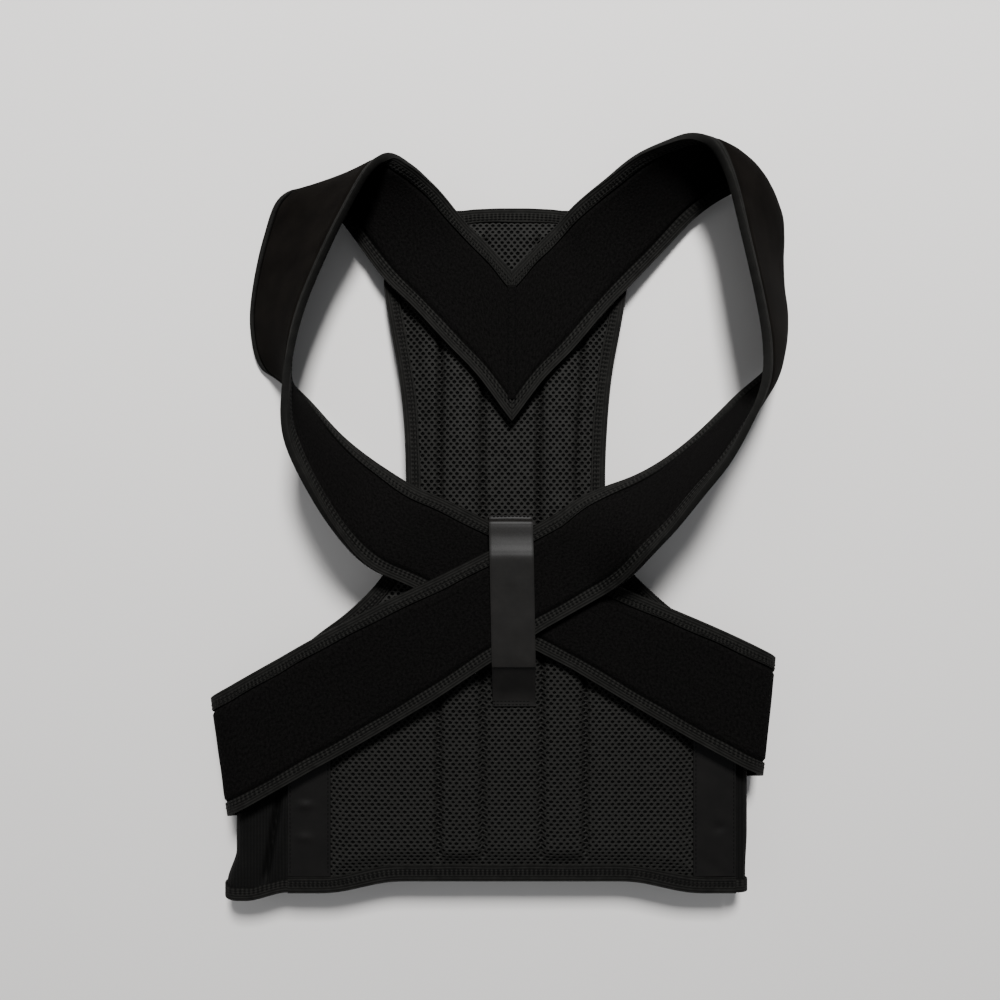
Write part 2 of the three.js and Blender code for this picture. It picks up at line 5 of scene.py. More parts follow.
import bpy
import numpy as np
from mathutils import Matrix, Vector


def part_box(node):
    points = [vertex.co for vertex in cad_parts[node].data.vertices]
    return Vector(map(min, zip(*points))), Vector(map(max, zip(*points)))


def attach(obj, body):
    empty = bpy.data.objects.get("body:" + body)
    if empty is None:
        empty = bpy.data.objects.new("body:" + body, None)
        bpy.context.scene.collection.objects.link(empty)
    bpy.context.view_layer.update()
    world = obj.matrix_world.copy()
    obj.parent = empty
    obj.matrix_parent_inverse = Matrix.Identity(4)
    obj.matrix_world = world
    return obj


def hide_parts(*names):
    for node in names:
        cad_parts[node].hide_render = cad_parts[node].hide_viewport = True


bl_info = {
    "name": "Posture corrector",
    "version": (1, 0, 0),
    "blender": (4, 5, 0),
    "location": "View3D > Sidebar > Brace",
    "description": "Builds the cloth, bindings, ribbons and stitches of a full back posture corrector",
    "category": "Object",
}

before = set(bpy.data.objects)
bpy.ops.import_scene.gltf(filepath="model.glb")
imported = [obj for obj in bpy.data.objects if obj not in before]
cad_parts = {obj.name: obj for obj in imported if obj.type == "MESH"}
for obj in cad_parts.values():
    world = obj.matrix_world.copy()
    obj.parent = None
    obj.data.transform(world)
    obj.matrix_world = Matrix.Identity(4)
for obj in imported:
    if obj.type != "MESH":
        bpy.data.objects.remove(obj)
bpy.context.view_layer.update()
PANEL_BOX = np.array([list(corner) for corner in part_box("back_panel")])

# The camera's height and half of the width that it sees at the floor, in metres.
CAMERA_HEIGHT = 0.466
HALF_VIEW = 0.31

# Sizes below are in millimetres, and places are counted from the middle of the panel's bottom edge.
# SHIFT takes them to the frame.
SHIFT = np.array([PANEL_BOX[:, 0].mean(), PANEL_BOX[0, 1], 0.0])
PANEL_LENGTH = 407.0
HALF_LUMBAR = 131.5
PANEL_MIDDLE = 22.0
NECK_MIDDLE = 5.0
PANEL_EDGE = 4.0
PAD_RISE = 2.5
CHANNEL_RISE = 2.5
CLEARANCE = 0.3
CHANNEL_TOP = PANEL_EDGE / 2 + PAD_RISE + CHANNEL_RISE + CLEARANCE
MESH_DEPTH = 0.75
HEM_RISE = 7.0
STRAP_WIDTH = 56.0
STRAIGHT_WIDTH = STRAP_WIDTH * 0.97
TAIL_WIDTH = 66.0
TAIL_RUN = 140.0
STRAP_EDGE = 1.4
STRAP_THICKNESS = 4.4
STRAP_STEP = 2.4
LOOP_REACH = 150.0
LOOP_HEIGHT = 60.0
LOWER_CROSSING = 180.5
UPPER_CROSSING = 177.0
LOWER_LAYER = 31.5
UPPER_LAYER = 36.2
FLOOR_LAYER = STRAP_THICKNESS / 2
SEAM_FOOT = 288.5
SEAM_TOP = 359.5
OUTER_WING_LAYER = 5.7
INNER_WING_LAYER = 10.4
WING_HEIGHT = 116.0
WING_DROP = 5.0
BINDING_THICKNESS = 1.2
BINDING_REACH = 1.2
BODY_SIDE_REACH = 3.4
FOLD_DEPTH = 0.5
RIBBON_WIDTH = 25.0
TAPE_THICKNESS = 0.8
TAPE_TOP = 105.8
TAPE_FOOT = 9.2
PANEL_SEAMS = (5.6, 7.4)
STRAP_SEAMS = (4.6, 6.5)
STITCH_SHARE = 0.72


def smoothstep(low, high, value):
    """0 below low, 1 above high, and the cubic with level ends between them."""
    t = np.clip((np.asarray(value, float) - low) / (high - low), 0.0, 1.0)
    return t * t * (3.0 - 2.0 * t)


def unit(vectors):
    """The same directions with length one."""
    return vectors / np.maximum(np.linalg.norm(vectors, axis=-1, keepdims=True), 1e-9)


def ripples(u, v, size, seed):
    """A soft uneven height between about -1 and 1: a third of the sum of five sine waves, whose headings,
    phases and lengths are seeded."""
    rng = np.random.default_rng(seed)
    total = np.zeros(np.broadcast(u, v).shape)
    for heading, phase, stretch in zip(
        rng.uniform(0, math.pi, 5), rng.uniform(0, 6.28, 5), rng.uniform(0.6, 1.7, 5)
    ):
        total += np.sin((u * math.cos(heading) + v * math.sin(heading)) * 6.28 / (size * stretch) + phase)
    return total / 3.0


# Meshes


def put_mesh(name, points, faces, loop_uvs, materials, face_slots=None, sharp=50):
    """Makes an object from points in millimetres, none of them under the floor, faces as lists of places,
    and one UV pair per face corner."""
    mesh = bpy.data.meshes.new(name)
    world = np.asarray(points).reshape(-1, 3) * 0.001 + SHIFT
    world[:, 2] = np.maximum(world[:, 2], 0.0)
    mesh.from_pydata(world.tolist(), [], faces)
    layer = mesh.uv_layers.new(name="cloth")
    layer.data.foreach_set("uv", np.asarray(loop_uvs, "f").ravel())
    for item in materials:
        mesh.materials.append(item)
    if face_slots is not None:
        mesh.polygons.foreach_set("material_index", np.asarray(face_slots, "i"))
    mesh.polygons.foreach_set("use_smooth", np.ones(len(mesh.polygons), bool))
    mesh.set_sharp_from_angle(angle=math.radians(sharp))
    mesh.update()
    piece = bpy.data.objects.new(name, mesh)
    bpy.context.scene.collection.objects.link(piece)
    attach(piece, "root")
    return piece


def inside_out(points, quads):
    """Whether the volume under a closed surface's quads is negative: the sum of a . (b x c) + a . (c x d)."""
    a, b, c, d = (points[quads[:, k]] for k in range(4))
    return (a * (np.cross(b, c) + np.cross(c, d))).sum() < 0


def grid_quads(rows, columns, start=0, closed=False):
    """The quads of a grid of points, row by row; a closed one joins its last column to its first."""
    r = np.arange(rows - 1)[:, None]
    c = np.arange(columns if closed else columns - 1)[None, :]
    n = (c + 1) % columns
    return start + np.stack(
        [r * columns + c, r * columns + n, (r + 1) * columns + n, (r + 1) * columns + c], -1
    ).reshape(-1, 4)


def loft(name, rings, along, around, materials, slots=None):
    """A closed solid through rings (R, K, 3): quads between neighbouring rings, and a cap on each end.
    along holds a length for each ring and around one for each of the K + 1 corners of a closed ring, and
    both go to the UV."""
    count, sides = rings.shape[:2]
    points = rings.reshape(-1, 3)
    quads = grid_quads(count, sides, closed=True)
    u = np.repeat(np.stack([along[:-1], along[:-1], along[1:], along[1:]], -1)[:, None], sides, 1)
    v = np.repeat(np.stack([around[:-1], around[1:], around[1:], around[:-1]], -1)[None], count - 1, 0)
    uvs = np.stack([u, v], -1).reshape(-1, 2)
    caps = [list(range(sides))[::-1], list(range((count - 1) * sides, count * sides))]
    cap_uvs = np.stack([np.tile(along[[0, -1]][:, None], sides).ravel(), np.tile(around[:-1], 2)], -1)
    faces = quads.tolist() + caps
    uvs = np.concatenate([uvs, cap_uvs])
    if inside_out(points, quads):
        faces = [face[::-1] for face in faces]
        uvs = np.concatenate([uvs[: len(quads) * 4].reshape(-1, 4, 2)[:, ::-1].reshape(-1, 2), cap_uvs])
    face_slots = None if slots is None else np.concatenate([np.tile(slots, count - 1), [0, 0]])
    return put_mesh(name, points, faces, uvs * 0.001, materials, face_slots)


def sheet_slab(name, top, bottom, u, v, materials, slots=(0, 0)):
    """A closed slab between two grids of points (R, C, 3), with quads round its rim. u and v are grids of
    lengths."""
    rows, columns = top.shape[:2]
    size = rows * columns
    points = np.concatenate([top.reshape(-1, 3), bottom.reshape(-1, 3)])
    upper = grid_quads(rows, columns)
    lower = grid_quads(rows, columns, size)[:, ::-1]
    rim = np.concatenate(
        [
            np.arange(columns),
            np.arange(1, rows) * columns + columns - 1,
            (rows - 1) * columns + np.arange(columns - 2, -1, -1),
            np.arange(rows - 2, 0, -1) * columns,
        ]
    )
    after = np.roll(rim, -1)
    walls = np.stack([after, rim, rim + size, after + size], -1)
    quads = np.concatenate([upper, lower, walls])
    if inside_out(points, quads):
        quads = quads[:, ::-1]
    flat = np.stack([u.ravel(), v.ravel()], -1)
    uvs = np.concatenate([flat, flat])[quads.ravel()]
    face_slots = np.repeat([slots[0], slots[1], slots[0]], [len(upper), len(lower), len(walls)])
    return put_mesh(name, points, quads.tolist(), uvs * 0.001, materials, face_slots)


def beside(line):
    """Directions at right angles to a flat line of points, on its right."""
    way = unit(np.gradient(line, axis=0))
    return np.stack([way[:, 1], -way[:, 0]], -1)


def run_along(points):
    """Length of a line from its first point to each of its points."""
    return np.concatenate([[0], np.cumsum(np.linalg.norm(np.diff(points, axis=0), axis=1))])


def catmull_rom(rows, count):
    """Catmull-Rom curves between the middle two of every four rows, each in the same count of steps."""
    t = np.linspace(0, 1, count, endpoint=False)[:, None]
    return [
        (2 * b + (c - a) * t + (2 * a - 5 * b + 4 * c - d) * t**2 + (3 * b - a - 3 * c + d) * t**3) / 2
        for a, b, c, d in zip(rows, rows[1:], rows[2:], rows[3:])
    ]


def row_facing_up(places):
    """A row of stitches that face up: their places, the way from each to the next, and up."""
    return places, np.gradient(places, axis=0), np.tile([0.0, 0.0, 1.0], (len(places), 1))


def sew(name, rows, length, radius):
    """The stitches of several rows of places, ways and ups. Each is a spindle along its way: two rings of
    four points and two tips."""
    places, ways, ups = (np.concatenate([row[k] for row in rows]) for k in range(3))
    ways, ups = unit(ways), unit(ups)
    sides = unit(np.cross(ups, ways))
    tips = np.array([[-0.5, 0, -0.25], [0.5, 0, -0.25]])
    rings = [[x, y, z] for x in (-0.3, 0.3) for y, z in ((1, 0), (0, 1), (-1, 0), (0, -0.6))]
    shape = np.concatenate([tips, rings])
    points = (
        places[:, None]
        + ways[:, None] * (shape[:, 0] * length)[:, None]
        + sides[:, None] * (shape[:, 1] * radius)[:, None]
        + ups[:, None] * (shape[:, 2] * radius)[:, None]
    )
    k = np.arange(4)
    n = (k + 1) % 4
    first = (np.arange(len(places)) * 10)[:, None, None]
    ends = np.concatenate([np.stack([0 * k, 2 + n, 2 + k], -1), np.stack([0 * k + 1, 6 + k, 6 + n], -1)])
    walls = np.stack([2 + k, 2 + n, 6 + n, 6 + k], -1)
    faces = (ends + first).reshape(-1, 3).tolist() + (walls + first).reshape(-1, 4).tolist()
    corners = len(places) * (ends.size + walls.size)
    piece = put_mesh(name, points.reshape(-1, 3), faces, np.zeros((corners, 2)), [finish("thread")])


def evenly(line, step):
    """A line of rows of numbers, resampled at equal steps of the length of its first three columns."""
    lengths = run_along(line[:, :3])
    at = np.linspace(0, lengths[-1], max(2, int(round(lengths[-1] / step)) + 1))
    return np.stack([np.interp(at, lengths, column) for column in line.T], -1), at


# Straps

# Columns: x over the loop's reach, y over the panel's length, side angle, width over the strap's width.
LEFT_YOKE = [
    (-0.0006, 0.789, 270, 1.64),
    (-0.09, 0.832, 261, 1.34),
    (-0.18, 0.868, 251, 1.2),
    (-0.28, 0.907, 238, 1.08),
]
RIGHT_YOKE = [
    (0.0006, 0.789, 270, 1.64),
    (0.09, 0.83, 277, 1.38),
    (0.18, 0.865, 285, 1.25),
    (0.265, 0.9, 294, 1.12),
]

# Columns: x, y, height of the outer edge over the loop's height, side angle, tilt, and width and bow over
# the strap's width.
LEFT_LOOP = [
    (-0.37, 0.942, 0.22, 227, 6, 1.06, 0),
    (-0.475, 0.989, 0.14, 209, 18, 1.04, 0.02),
    (-0.56, 1.02, 0.11, 197, 26, 1.08, 0.02),
    (-0.655, 1.038, 0.13, 190, 25, 1.17, 0.03),
    (-0.74, 1.018, 0.13, 186, 28, 1.26, 0.05),
    (-0.815, 0.964, 0.09, 184, 32, 1.2, 0.05),
    (-0.876, 0.907, 0.05, 183, 36, 1.12, 0.03),
    (-0.925, 0.842, 0.04, 177, 43, 1.03, 0.03),
    (-0.938, 0.788, 0.035, 168, 51, 1.01, 0.06),
    (-0.93, 0.746, 0.035, 149, 56, 1.02, 0.12),
    (-0.9, 0.715, 0.04, 120, 56, 1.04, 0.13),
    (-0.83, 0.675, 0.07, 94, 56, 1.03, 0.08),
    (-0.715, 0.617, 0.15, 77, 52, 1.01, 0.03),
    (-0.595, 0.568, 0.25, 68, 37, 0.99, 0),
    (-0.465, 0.528, 0.41, 64, 15, 0.97, 0),
]
RIGHT_LOOP = [
    (0.345, 0.932, 0.22, 302, 8, 1.05, 0),
    (0.48, 0.978, 0.13, 316, 22, 1.0, 0.02),
    (0.61, 1.02, 0.09, 330, 33, 1.02, 0.04),
    (0.735, 1.045, 0.09, 340, 36, 1.05, 0.08),
    (0.82, 1.051, 0.1, 341, 36, 1.09, 0.11),
    (0.895, 1.04, 0.1, 338, 34, 1.12, 0.12),
    (0.943, 1.016, 0.08, 337, 35, 1.1, 0.1),
    (0.968, 0.98, 0.06, 339, 40, 1.05, 0.06),
    (0.982, 0.938, 0.04, 346, 47, 1.02, 0.03),
    (0.998, 0.89, 0.035, 356, 53, 1.02, 0.02),
    (1.02, 0.838, 0.035, 367, 56, 1.02, 0.03),
    (1.022, 0.787, 0.04, 377, 60, 1.02, 0.06),
    (0.982, 0.742, 0.05, 395, 66, 1.02, 0.09),
    (0.888, 0.696, 0.09, 425, 71, 1.02, 0.06),
    (0.772, 0.642, 0.14, 453, 70, 1.01, 0.02),
    (0.655, 0.6, 0.2, 468, 66, 1.0, 0),
    (0.54, 0.565, 0.3, 477, 56, 0.99, 0),
    (0.42, 0.535, 0.43, 480, 38, 0.98, 0),
]


def middle_height(y):
    """Height of the panel's middle: level under the lumbar part, then a smooth slope down to the neck end."""
    return PANEL_MIDDLE - (PANEL_MIDDLE - NECK_MIDDLE) * smoothstep(0.4 * PANEL_LENGTH, PANEL_LENGTH, y)


def yoke_rows(table):
    """Rows x, y, z, side, tilt, width, bow of a yoke arm, with both edges seated on the panel's channels."""
    x, y, side, wide = np.array(table, float).T
    width = wide * STRAP_WIDTH
    y = y * PANEL_LENGTH
    reach = np.sin(np.radians(side)) * width / 2
    seat = CHANNEL_TOP + STRAP_THICKNESS / 2
    outer, inner = middle_height(y + reach) + seat, middle_height(y - reach) + seat
    tilt = np.degrees(np.arcsin((inner - outer) / width))
    return np.stack([x * LOOP_REACH, y, (outer + inner) / 2, side, tilt, width, 0 * x], -1)


def loop_rows(table):
    """The same rows for a loop: the height of the outer edge, and half of the width up the tilt to the
    middle."""
    x, y, low, side, tilt, wide, bow = np.array(table, float).T
    width = wide * STRAP_WIDTH
    z = low * LOOP_HEIGHT + np.sin(np.radians(tilt)) * width / 2
    return np.stack([x * LOOP_REACH, y * PANEL_LENGTH, z, side, tilt, width, -bow * STRAP_WIDTH], -1)


def tail_rows(heading, fold, turns, fold_x, start, crossing, layers, widen):
    """The same rows from the crossing: a straight run, a half turn round the belt's side along the fold line,
    and a straight run back under the belt, with the side angle turning to the fold line and on past it."""
    hand = 1 if fold_x > 0 else -1
    upper_side, fold_side = heading + 90 * hand + 360 * turns, fold + 360 * turns
    lower_side = 2 * fold_side - upper_side
    radius = (layers[-1] - FLOOR_LAYER) / 2
    turn_x = fold_x - hand * radius
    slope = math.tan(math.radians(heading))
    share = np.linspace(0, 1, len(layers))
    x = start + share * (turn_x - start)
    side = upper_side + (fold_side - upper_side) * smoothstep(0.6, 1, share)
    width = STRAIGHT_WIDTH + (TAIL_WIDTH - STRAIGHT_WIDTH) * smoothstep(*widen, share)
    width = width / np.cos(np.radians(side - upper_side))
    straight = np.stack([x, crossing + x * slope, layers, side, 0 * x, width, 0 * x], -1)
    turn = np.radians(np.arange(10, 181, 10))
    out = hand * radius * np.sin(turn)
    slide = hand * radius * math.tan(math.radians(upper_side - fold_side)) * turn
    fx, fy = math.cos(math.radians(fold)), math.sin(math.radians(fold))
    ring_width = TAIL_WIDTH / math.cos(math.radians(fold_side - upper_side))
    wrap = np.stack(
        [
            turn_x + fy * out + fx * slide,
            crossing + turn_x * slope - fx * out + fy * slide,
            FLOOR_LAYER + radius * (1 + np.cos(turn)),
            0 * turn + fold_side,
            0 * turn,
            0 * turn + ring_width,
            0 * turn,
        ],
        -1,
    )
    back = math.radians(lower_side + 90 * hand)
    go = np.array([0.15, 0.4, 0.7, 1])
    side = fold_side + (lower_side - fold_side) * smoothstep(0, 0.4, go)
    front = np.stack(
        [
            wrap[-1, 0] + math.cos(back) * go * TAIL_RUN,
            wrap[-1, 1] + math.sin(back) * go * TAIL_RUN,
            0 * go + FLOOR_LAYER,
            side,
            0 * go,
            TAIL_WIDTH / np.cos(np.radians(side - lower_side)),
            0 * go,
        ],
        -1,
    )
    return np.concatenate([straight, wrap, front])


def smooth_rows(curved, straight):
    """Catmull-Rom through the curved rows and on to the first straight one, then the straight rows as they
    are."""
    rows = np.concatenate([curved[:1], curved, straight[:2]])
    return np.concatenate([*catmull_rom(rows, 10), straight])


class Band:
    """A strap as frames along its length: centre, direction across from the inner to the outer edge, and
    normal. The normal points to the body side on the left strap and to the plush side on the right one."""

    def __init__(self, rows, step):
        rows, self.along = evenly(rows, step)
        self.centre = rows[:, :3]
        side, tilt = np.radians(rows[:, 3]), np.radians(rows[:, 4])
        self.across = np.stack([np.cos(side) * np.cos(tilt), np.sin(side) * np.cos(tilt), -np.sin(tilt)], -1)
        travel = unit(np.gradient(self.centre, axis=0))
        normal = np.cross(self.across, travel)
        self.slant = 1 / np.linalg.norm(normal, axis=1)
        self.normal = unit(normal)
        self.half = rows[:, 5] / 2
        self.bow = rows[:, 6]

    def at(self, w, n):
        """Points at w across and n along the normal, on a band that bows between its edges."""
        bowed = n + self.bow[:, None] * (1 - (w / self.half[:, None]) ** 2)
        flat = self.centre[:, None] + self.across[:, None] * w[..., None]
        return flat + self.normal[:, None] * bowed[..., None]

    def from_edge(self, direction, inwards, height):
        """Points at a true distance inwards from the outer (1) or inner (-1) edge."""
        w = direction * (self.half[:, None] - np.asarray(inwards) * self.slant[:, None])
        return self.at(w, np.broadcast_to(height, w.shape))


def bands():
    """The two straps, at the same places as their solids."""
    level = np.full(5, LOWER_LAYER)
    left = tail_rows(-27, 84, 0, HALF_LUMBAR + 20.3, -45, LOWER_CROSSING, level, (0.45, 0.95))
    layers = LOWER_LAYER + (UPPER_LAYER - LOWER_LAYER) * np.array([1, 1, 1, 0.85, 0.3, 0, 0])
    right = tail_rows(209.5, 98, 1, -(HALF_LUMBAR + 41.4), 38, UPPER_CROSSING, layers, (0.15, 0.65))
    return {
        side: Band(smooth_rows(np.concatenate([yoke_rows(yoke), loop_rows(loop)]), tail), STRAP_STEP)
        for side, yoke, loop, tail in (
            ("left", LEFT_YOKE, LEFT_LOOP, left),
            ("right", RIGHT_YOKE, RIGHT_LOOP, right),
        )
    }


# Panel

# Columns: height over the panel's length, and the half widths to the left and right in millimetres.
OUTLINE = np.array(
    [
        (0, 131.5, 131.5),
        (0.3, 131.5, 131.5),
        (0.345, 124.9, 126.2),
        (0.37, 113.1, 114.4),
        (0.395, 98.6, 98.6),
        (0.43, 82.8, 81.5),
        (0.465, 72, 67.3),
        (0.5, 64.4, 57.3),
        (0.55, 61.4, 54.4),
        (0.61, 62, 54.4),
        (0.68, 63.2, 56.2),
        (0.75, 66.7, 59.1),
        (0.82, 72.3, 65),
        (0.88, 76.7, 69.4),
        (0.905, 76.7, 69.4),
        (0.94, 62, 57.7),
        (0.974, 47.4, 48.8),
        (1, 36.3, 37.7),
    ]
)


def half_widths(y):
    """The panel's reach to the left and to the right at a height."""
    at = np.asarray(y) / PANEL_LENGTH
    return np.interp(at, OUTLINE[:, 0], OUTLINE[:, 1]), np.interp(at, OUTLINE[:, 0], OUTLINE[:, 2])


def hem_rise(x):
    """How far the bottom edge rises between the two lumbar corners."""
    return HEM_RISE * smoothstep(0.84 * HALF_LUMBAR, 0.5 * HALF_LUMBAR, np.abs(x))


def lumbar_part(y):
    """1 along the wide lumbar part, with a smooth fall to 0 above it."""
    return smoothstep(0.33 * PANEL_LENGTH, 0.28 * PANEL_LENGTH, y)


def face_height(x, y):
    """Height of the quilted face: the edge, the pad that swells inside the binding, two round channels with a
    sunk seam on each side of each, and soft unevenness."""
    left, right = half_widths(y)
    reach = np.where(x < 0, left, right)
    lumbar = lumbar_part(y)
    inset = 10.5 + 16 * lumbar
    inside = np.minimum(reach - np.abs(x), np.minimum(y - hem_rise(x) + 16 * lumbar, PANEL_LENGTH - y + 2))
    pad = smoothstep(inset - 4, inset + 9, inside)
    squeeze = np.minimum(1.0, 0.9 * (reach - 12) / 42)
    across = np.abs(x) / np.maximum(squeeze, 0.2) - 30
    ends = smoothstep(14, 24, y) * smoothstep(PANEL_LENGTH - 10, PANEL_LENGTH - 26, y)
    crest = np.clip(1 - (across / 12) ** 2, 0, 1) ** 0.6
    groove = np.exp(-(((np.abs(across) - 13) / 1.7) ** 2))
    relief = ends * (CHANNEL_RISE * crest - 2.6 * groove) + 0.25 * ripples(x, y, 55, 4)
    return middle_height(y) + PANEL_EDGE / 2 + pad * (PAD_RISE + relief) * 0.98


# Materials


def blank(name, colour, roughness, specular):
    """A material with one Principled shader whose uniform values are set on its own sockets."""
    made = bpy.data.materials.new(name)
    made.use_nodes = True
    shader = made.node_tree.nodes["Principled BSDF"]
    shader.inputs["Base Color"].default_value = (*colour, 1)
    shader.inputs["Roughness"].default_value = roughness
    shader.inputs["Specular IOR Level"].default_value = specular
    return made, made.node_tree.nodes, made.node_tree.links, shader


def coordinates(nodes, source):
    """The piece's own cloth UV map, or Object coordinates."""
    if source == "UV":
        made = nodes.new("ShaderNodeUVMap")
        made.uv_map = "cloth"
        return made.outputs["UV"]
    return nodes.new("ShaderNodeTexCoord").outputs["Object"]


def noise(nodes, links, vector, scale, detail=3.0, roughness=0.55):
    """A Noise Texture's factor on the given coordinates."""
    made = nodes.new("ShaderNodeTexNoise")
    made.inputs["Scale"].default_value = scale
    made.inputs["Detail"].default_value = detail
    made.inputs["Roughness"].default_value = roughness
    links.new(vector, made.inputs["Vector"])
    return made.outputs["Fac"]


def wave(nodes, links, vector, scale, direction, distortion=0.0):
    """Bands across one direction of the given coordinates."""
    made = nodes.new("ShaderNodeTexWave")
    made.bands_direction = direction
    made.inputs["Scale"].default_value = scale
    made.inputs["Distortion"].default_value = distortion
    made.inputs["Detail Scale"].default_value = 2.0
    links.new(vector, made.inputs["Vector"])
    return made.outputs["Fac"]


def blend_values(nodes, links, kind, a, b):
    """Two values through a Math node."""
    made = nodes.new("ShaderNodeMath")
    made.operation = kind
    links.new(a, made.inputs[0])
    if isinstance(b, float):
        made.inputs[1].default_value = b
    else:
        links.new(b, made.inputs[1])
    return made.outputs[0]


def ramp_colour(nodes, links, shader, fac, dark, light, low=0.3, high=0.7):
    """Base Color between two colours by a value."""
    made = nodes.new("ShaderNodeValToRGB")
    made.color_ramp.elements[0].position = low
    made.color_ramp.elements[0].color = (*dark, 1)
    made.color_ramp.elements[1].position = high
    made.color_ramp.elements[1].color = (*light, 1)
    links.new(fac, made.inputs["Fac"])
    links.new(made.outputs["Color"], shader.inputs["Base Color"])


def bump(nodes, links, shader, height, strength, distance):
    """A Bump node between a height and the shader's normal."""
    made = nodes.new("ShaderNodeBump")
    made.inputs["Strength"].default_value = strength
    made.inputs["Distance"].default_value = distance
    links.new(height, made.inputs["Height"])
    links.new(made.outputs["Normal"], shader.inputs["Normal"])


def scaled(colour, factor):
    """A colour times a factor."""
    return tuple(channel * factor for channel in colour[:3])


def plush_material(colour):
    """Brushed loop pile: clumps of fine fibre, lighter where they stand up."""
    made, nodes, links, shader = blank("brushed_plush", colour, 1.0, 0.02)
    place = coordinates(nodes, "UV")
    fine = noise(nodes, links, place, 2200, 3, 0.75)
    clumps = noise(nodes, links, place, 620, 2, 0.6)
    both = blend_values(nodes, links, "MULTIPLY", fine, clumps)
    ramp_colour(nodes, links, shader, both, scaled(colour, 0.45), scaled(colour, 2.0), 0.12, 0.42)
    bump(nodes, links, shader, both, 0.8, 0.0008)
    return made


def body_material(colour):
    """The strap's smooth body side: a fine warm jersey."""
    made, nodes, links, shader = blank("body_jersey", colour, 0.95, 0.03)
    place = coordinates(nodes, "UV")
    ribs = wave(nodes, links, place, 420, "Y")
    uneven = noise(nodes, links, place, 60, 3)
    both = blend_values(nodes, links, "ADD", ribs, uneven)
    ramp_colour(nodes, links, shader, uneven, scaled(colour, 0.75), scaled(colour, 1.35))
    bump(nodes, links, shader, both, 0.25, 0.0003)
    return made


def binding_material(colour):
    """Woven binding tape: fine crosswise picks over lengthwise ribs, puckered stitch by stitch along its
    seam, with painted shade in the dent at each stitch and painted light on the knobs between them."""
    made, nodes, links, shader = blank("woven_binding_tape", colour, 0.8, 0.08)
    place = coordinates(nodes, "UV")
    picks = wave(nodes, links, place, 520, "X", 0.6)
    ribs = wave(nodes, links, place, 210, "Y")
    uneven = noise(nodes, links, place, 220, 3)
    split = nodes.new("ShaderNodeSeparateXYZ")
    links.new(place, split.inputs[0])
    seam_inset, radians_a_metre = 0.0056, 2417.0
    depth = blend_values(nodes, links, "ABSOLUTE", split.outputs["Y"], 0.0)
    past_seam = blend_values(nodes, links, "SUBTRACT", depth, seam_inset)
    from_seam = blend_values(nodes, links, "ABSOLUTE", past_seam, 0.0)
    window = nodes.new("ShaderNodeMapRange")
    window.inputs["From Min"].default_value = 0.0024
    window.inputs["From Max"].default_value = 0.0012
    links.new(from_seam, window.inputs["Value"])
    angle = blend_values(nodes, links, "MULTIPLY", split.outputs["X"], radians_a_metre)
    turn = blend_values(nodes, links, "SINE", angle, 0.0)
    pucker = blend_values(nodes, links, "MULTIPLY", turn, window.outputs["Result"])
    both = blend_values(nodes, links, "ADD", blend_values(nodes, links, "MULTIPLY", picks, 0.4), ribs)
    both = blend_values(nodes, links, "ADD", both, blend_values(nodes, links, "MULTIPLY", pucker, 1.1))
    shade = blend_values(nodes, links, "MULTIPLY", blend_values(nodes, links, "ADD", both, 0.5), uneven)
    # Base Color follows the same heights as the bump: painted shade in the stitch pucker dents and painted
    # light on the knobs, times an uneven tone.
    ramp_colour(nodes, links, shader, shade, scaled(colour, 0.5), scaled(colour, 1.6), 0.2, 1.0)
    bump(nodes, links, shader, both, 0.55, 0.0004)
    return made


def yarn_material(colour):
    """The air mesh's yarn: a fine uneven multifilament."""
    made, nodes, links, shader = blank("air_mesh_yarn", colour, 0.7, 0.08)
    place = coordinates(nodes, "Object")
    fine = noise(nodes, links, place, 1800, 3, 0.7)
    ramp_colour(nodes, links, shader, fine, scaled(colour, 0.6), scaled(colour, 1.5))
    bump(nodes, links, shader, fine, 0.5, 0.0003)
    return made


def hole_shade_knit_material(colour):
    """The knit under the air mesh, with a near black colour that is painted shade of the mesh's holes."""
    made, nodes, links, shader = blank("under_knit", colour, 0.95, 0.1)
    place = coordinates(nodes, "Object")
    fine = noise(nodes, links, place, 700, 3, 0.6)
    ramp_colour(nodes, links, shader, fine, scaled(colour, 0.6), scaled(colour, 1.4))
    bump(nodes, links, shader, fine, 0.5, 0.0004)
    return made


def satin_material(colour):
    """Satin ribbon: a tight weave with a soft sheen, slightly uneven."""
    made, nodes, links, shader = blank("satin_ribbon", colour, 0.48, 0.2)
    place = coordinates(nodes, "Object")
    weave = wave(nodes, links, place, 700, "Y", 0.4)
    uneven = noise(nodes, links, place, 90, 4, 0.6)
    both = blend_values(nodes, links, "ADD", blend_values(nodes, links, "MULTIPLY", weave, 0.3), uneven)
    ramp_colour(nodes, links, shader, uneven, scaled(colour, 0.8), scaled(colour, 1.25))
    bump(nodes, links, shader, both, 0.2, 0.0006)
    return made


def elastic_material(colour):
    """Ribbed woven elastic: narrow ribs round the belt, crossed by fine picks."""
    made, nodes, links, shader = blank("ribbed_elastic", colour, 0.8, 0.08)
    place = coordinates(nodes, "UV")
    ribs = wave(nodes, links, place, 170, "X", 0.3)
    picks = wave(nodes, links, place, 420, "Y", 0.5)
    uneven = noise(nodes, links, place, 90, 3)
    both = blend_values(nodes, links, "ADD", ribs, blend_values(nodes, links, "MULTIPLY", picks, 0.4))
    shade = blend_values(nodes, links, "MULTIPLY", both, uneven)
    ramp_colour(nodes, links, shader, shade, scaled(colour, 0.75), scaled(colour, 1.5), 0.15, 0.9)
    bump(nodes, links, shader, both, 0.4, 0.0004)
    return made


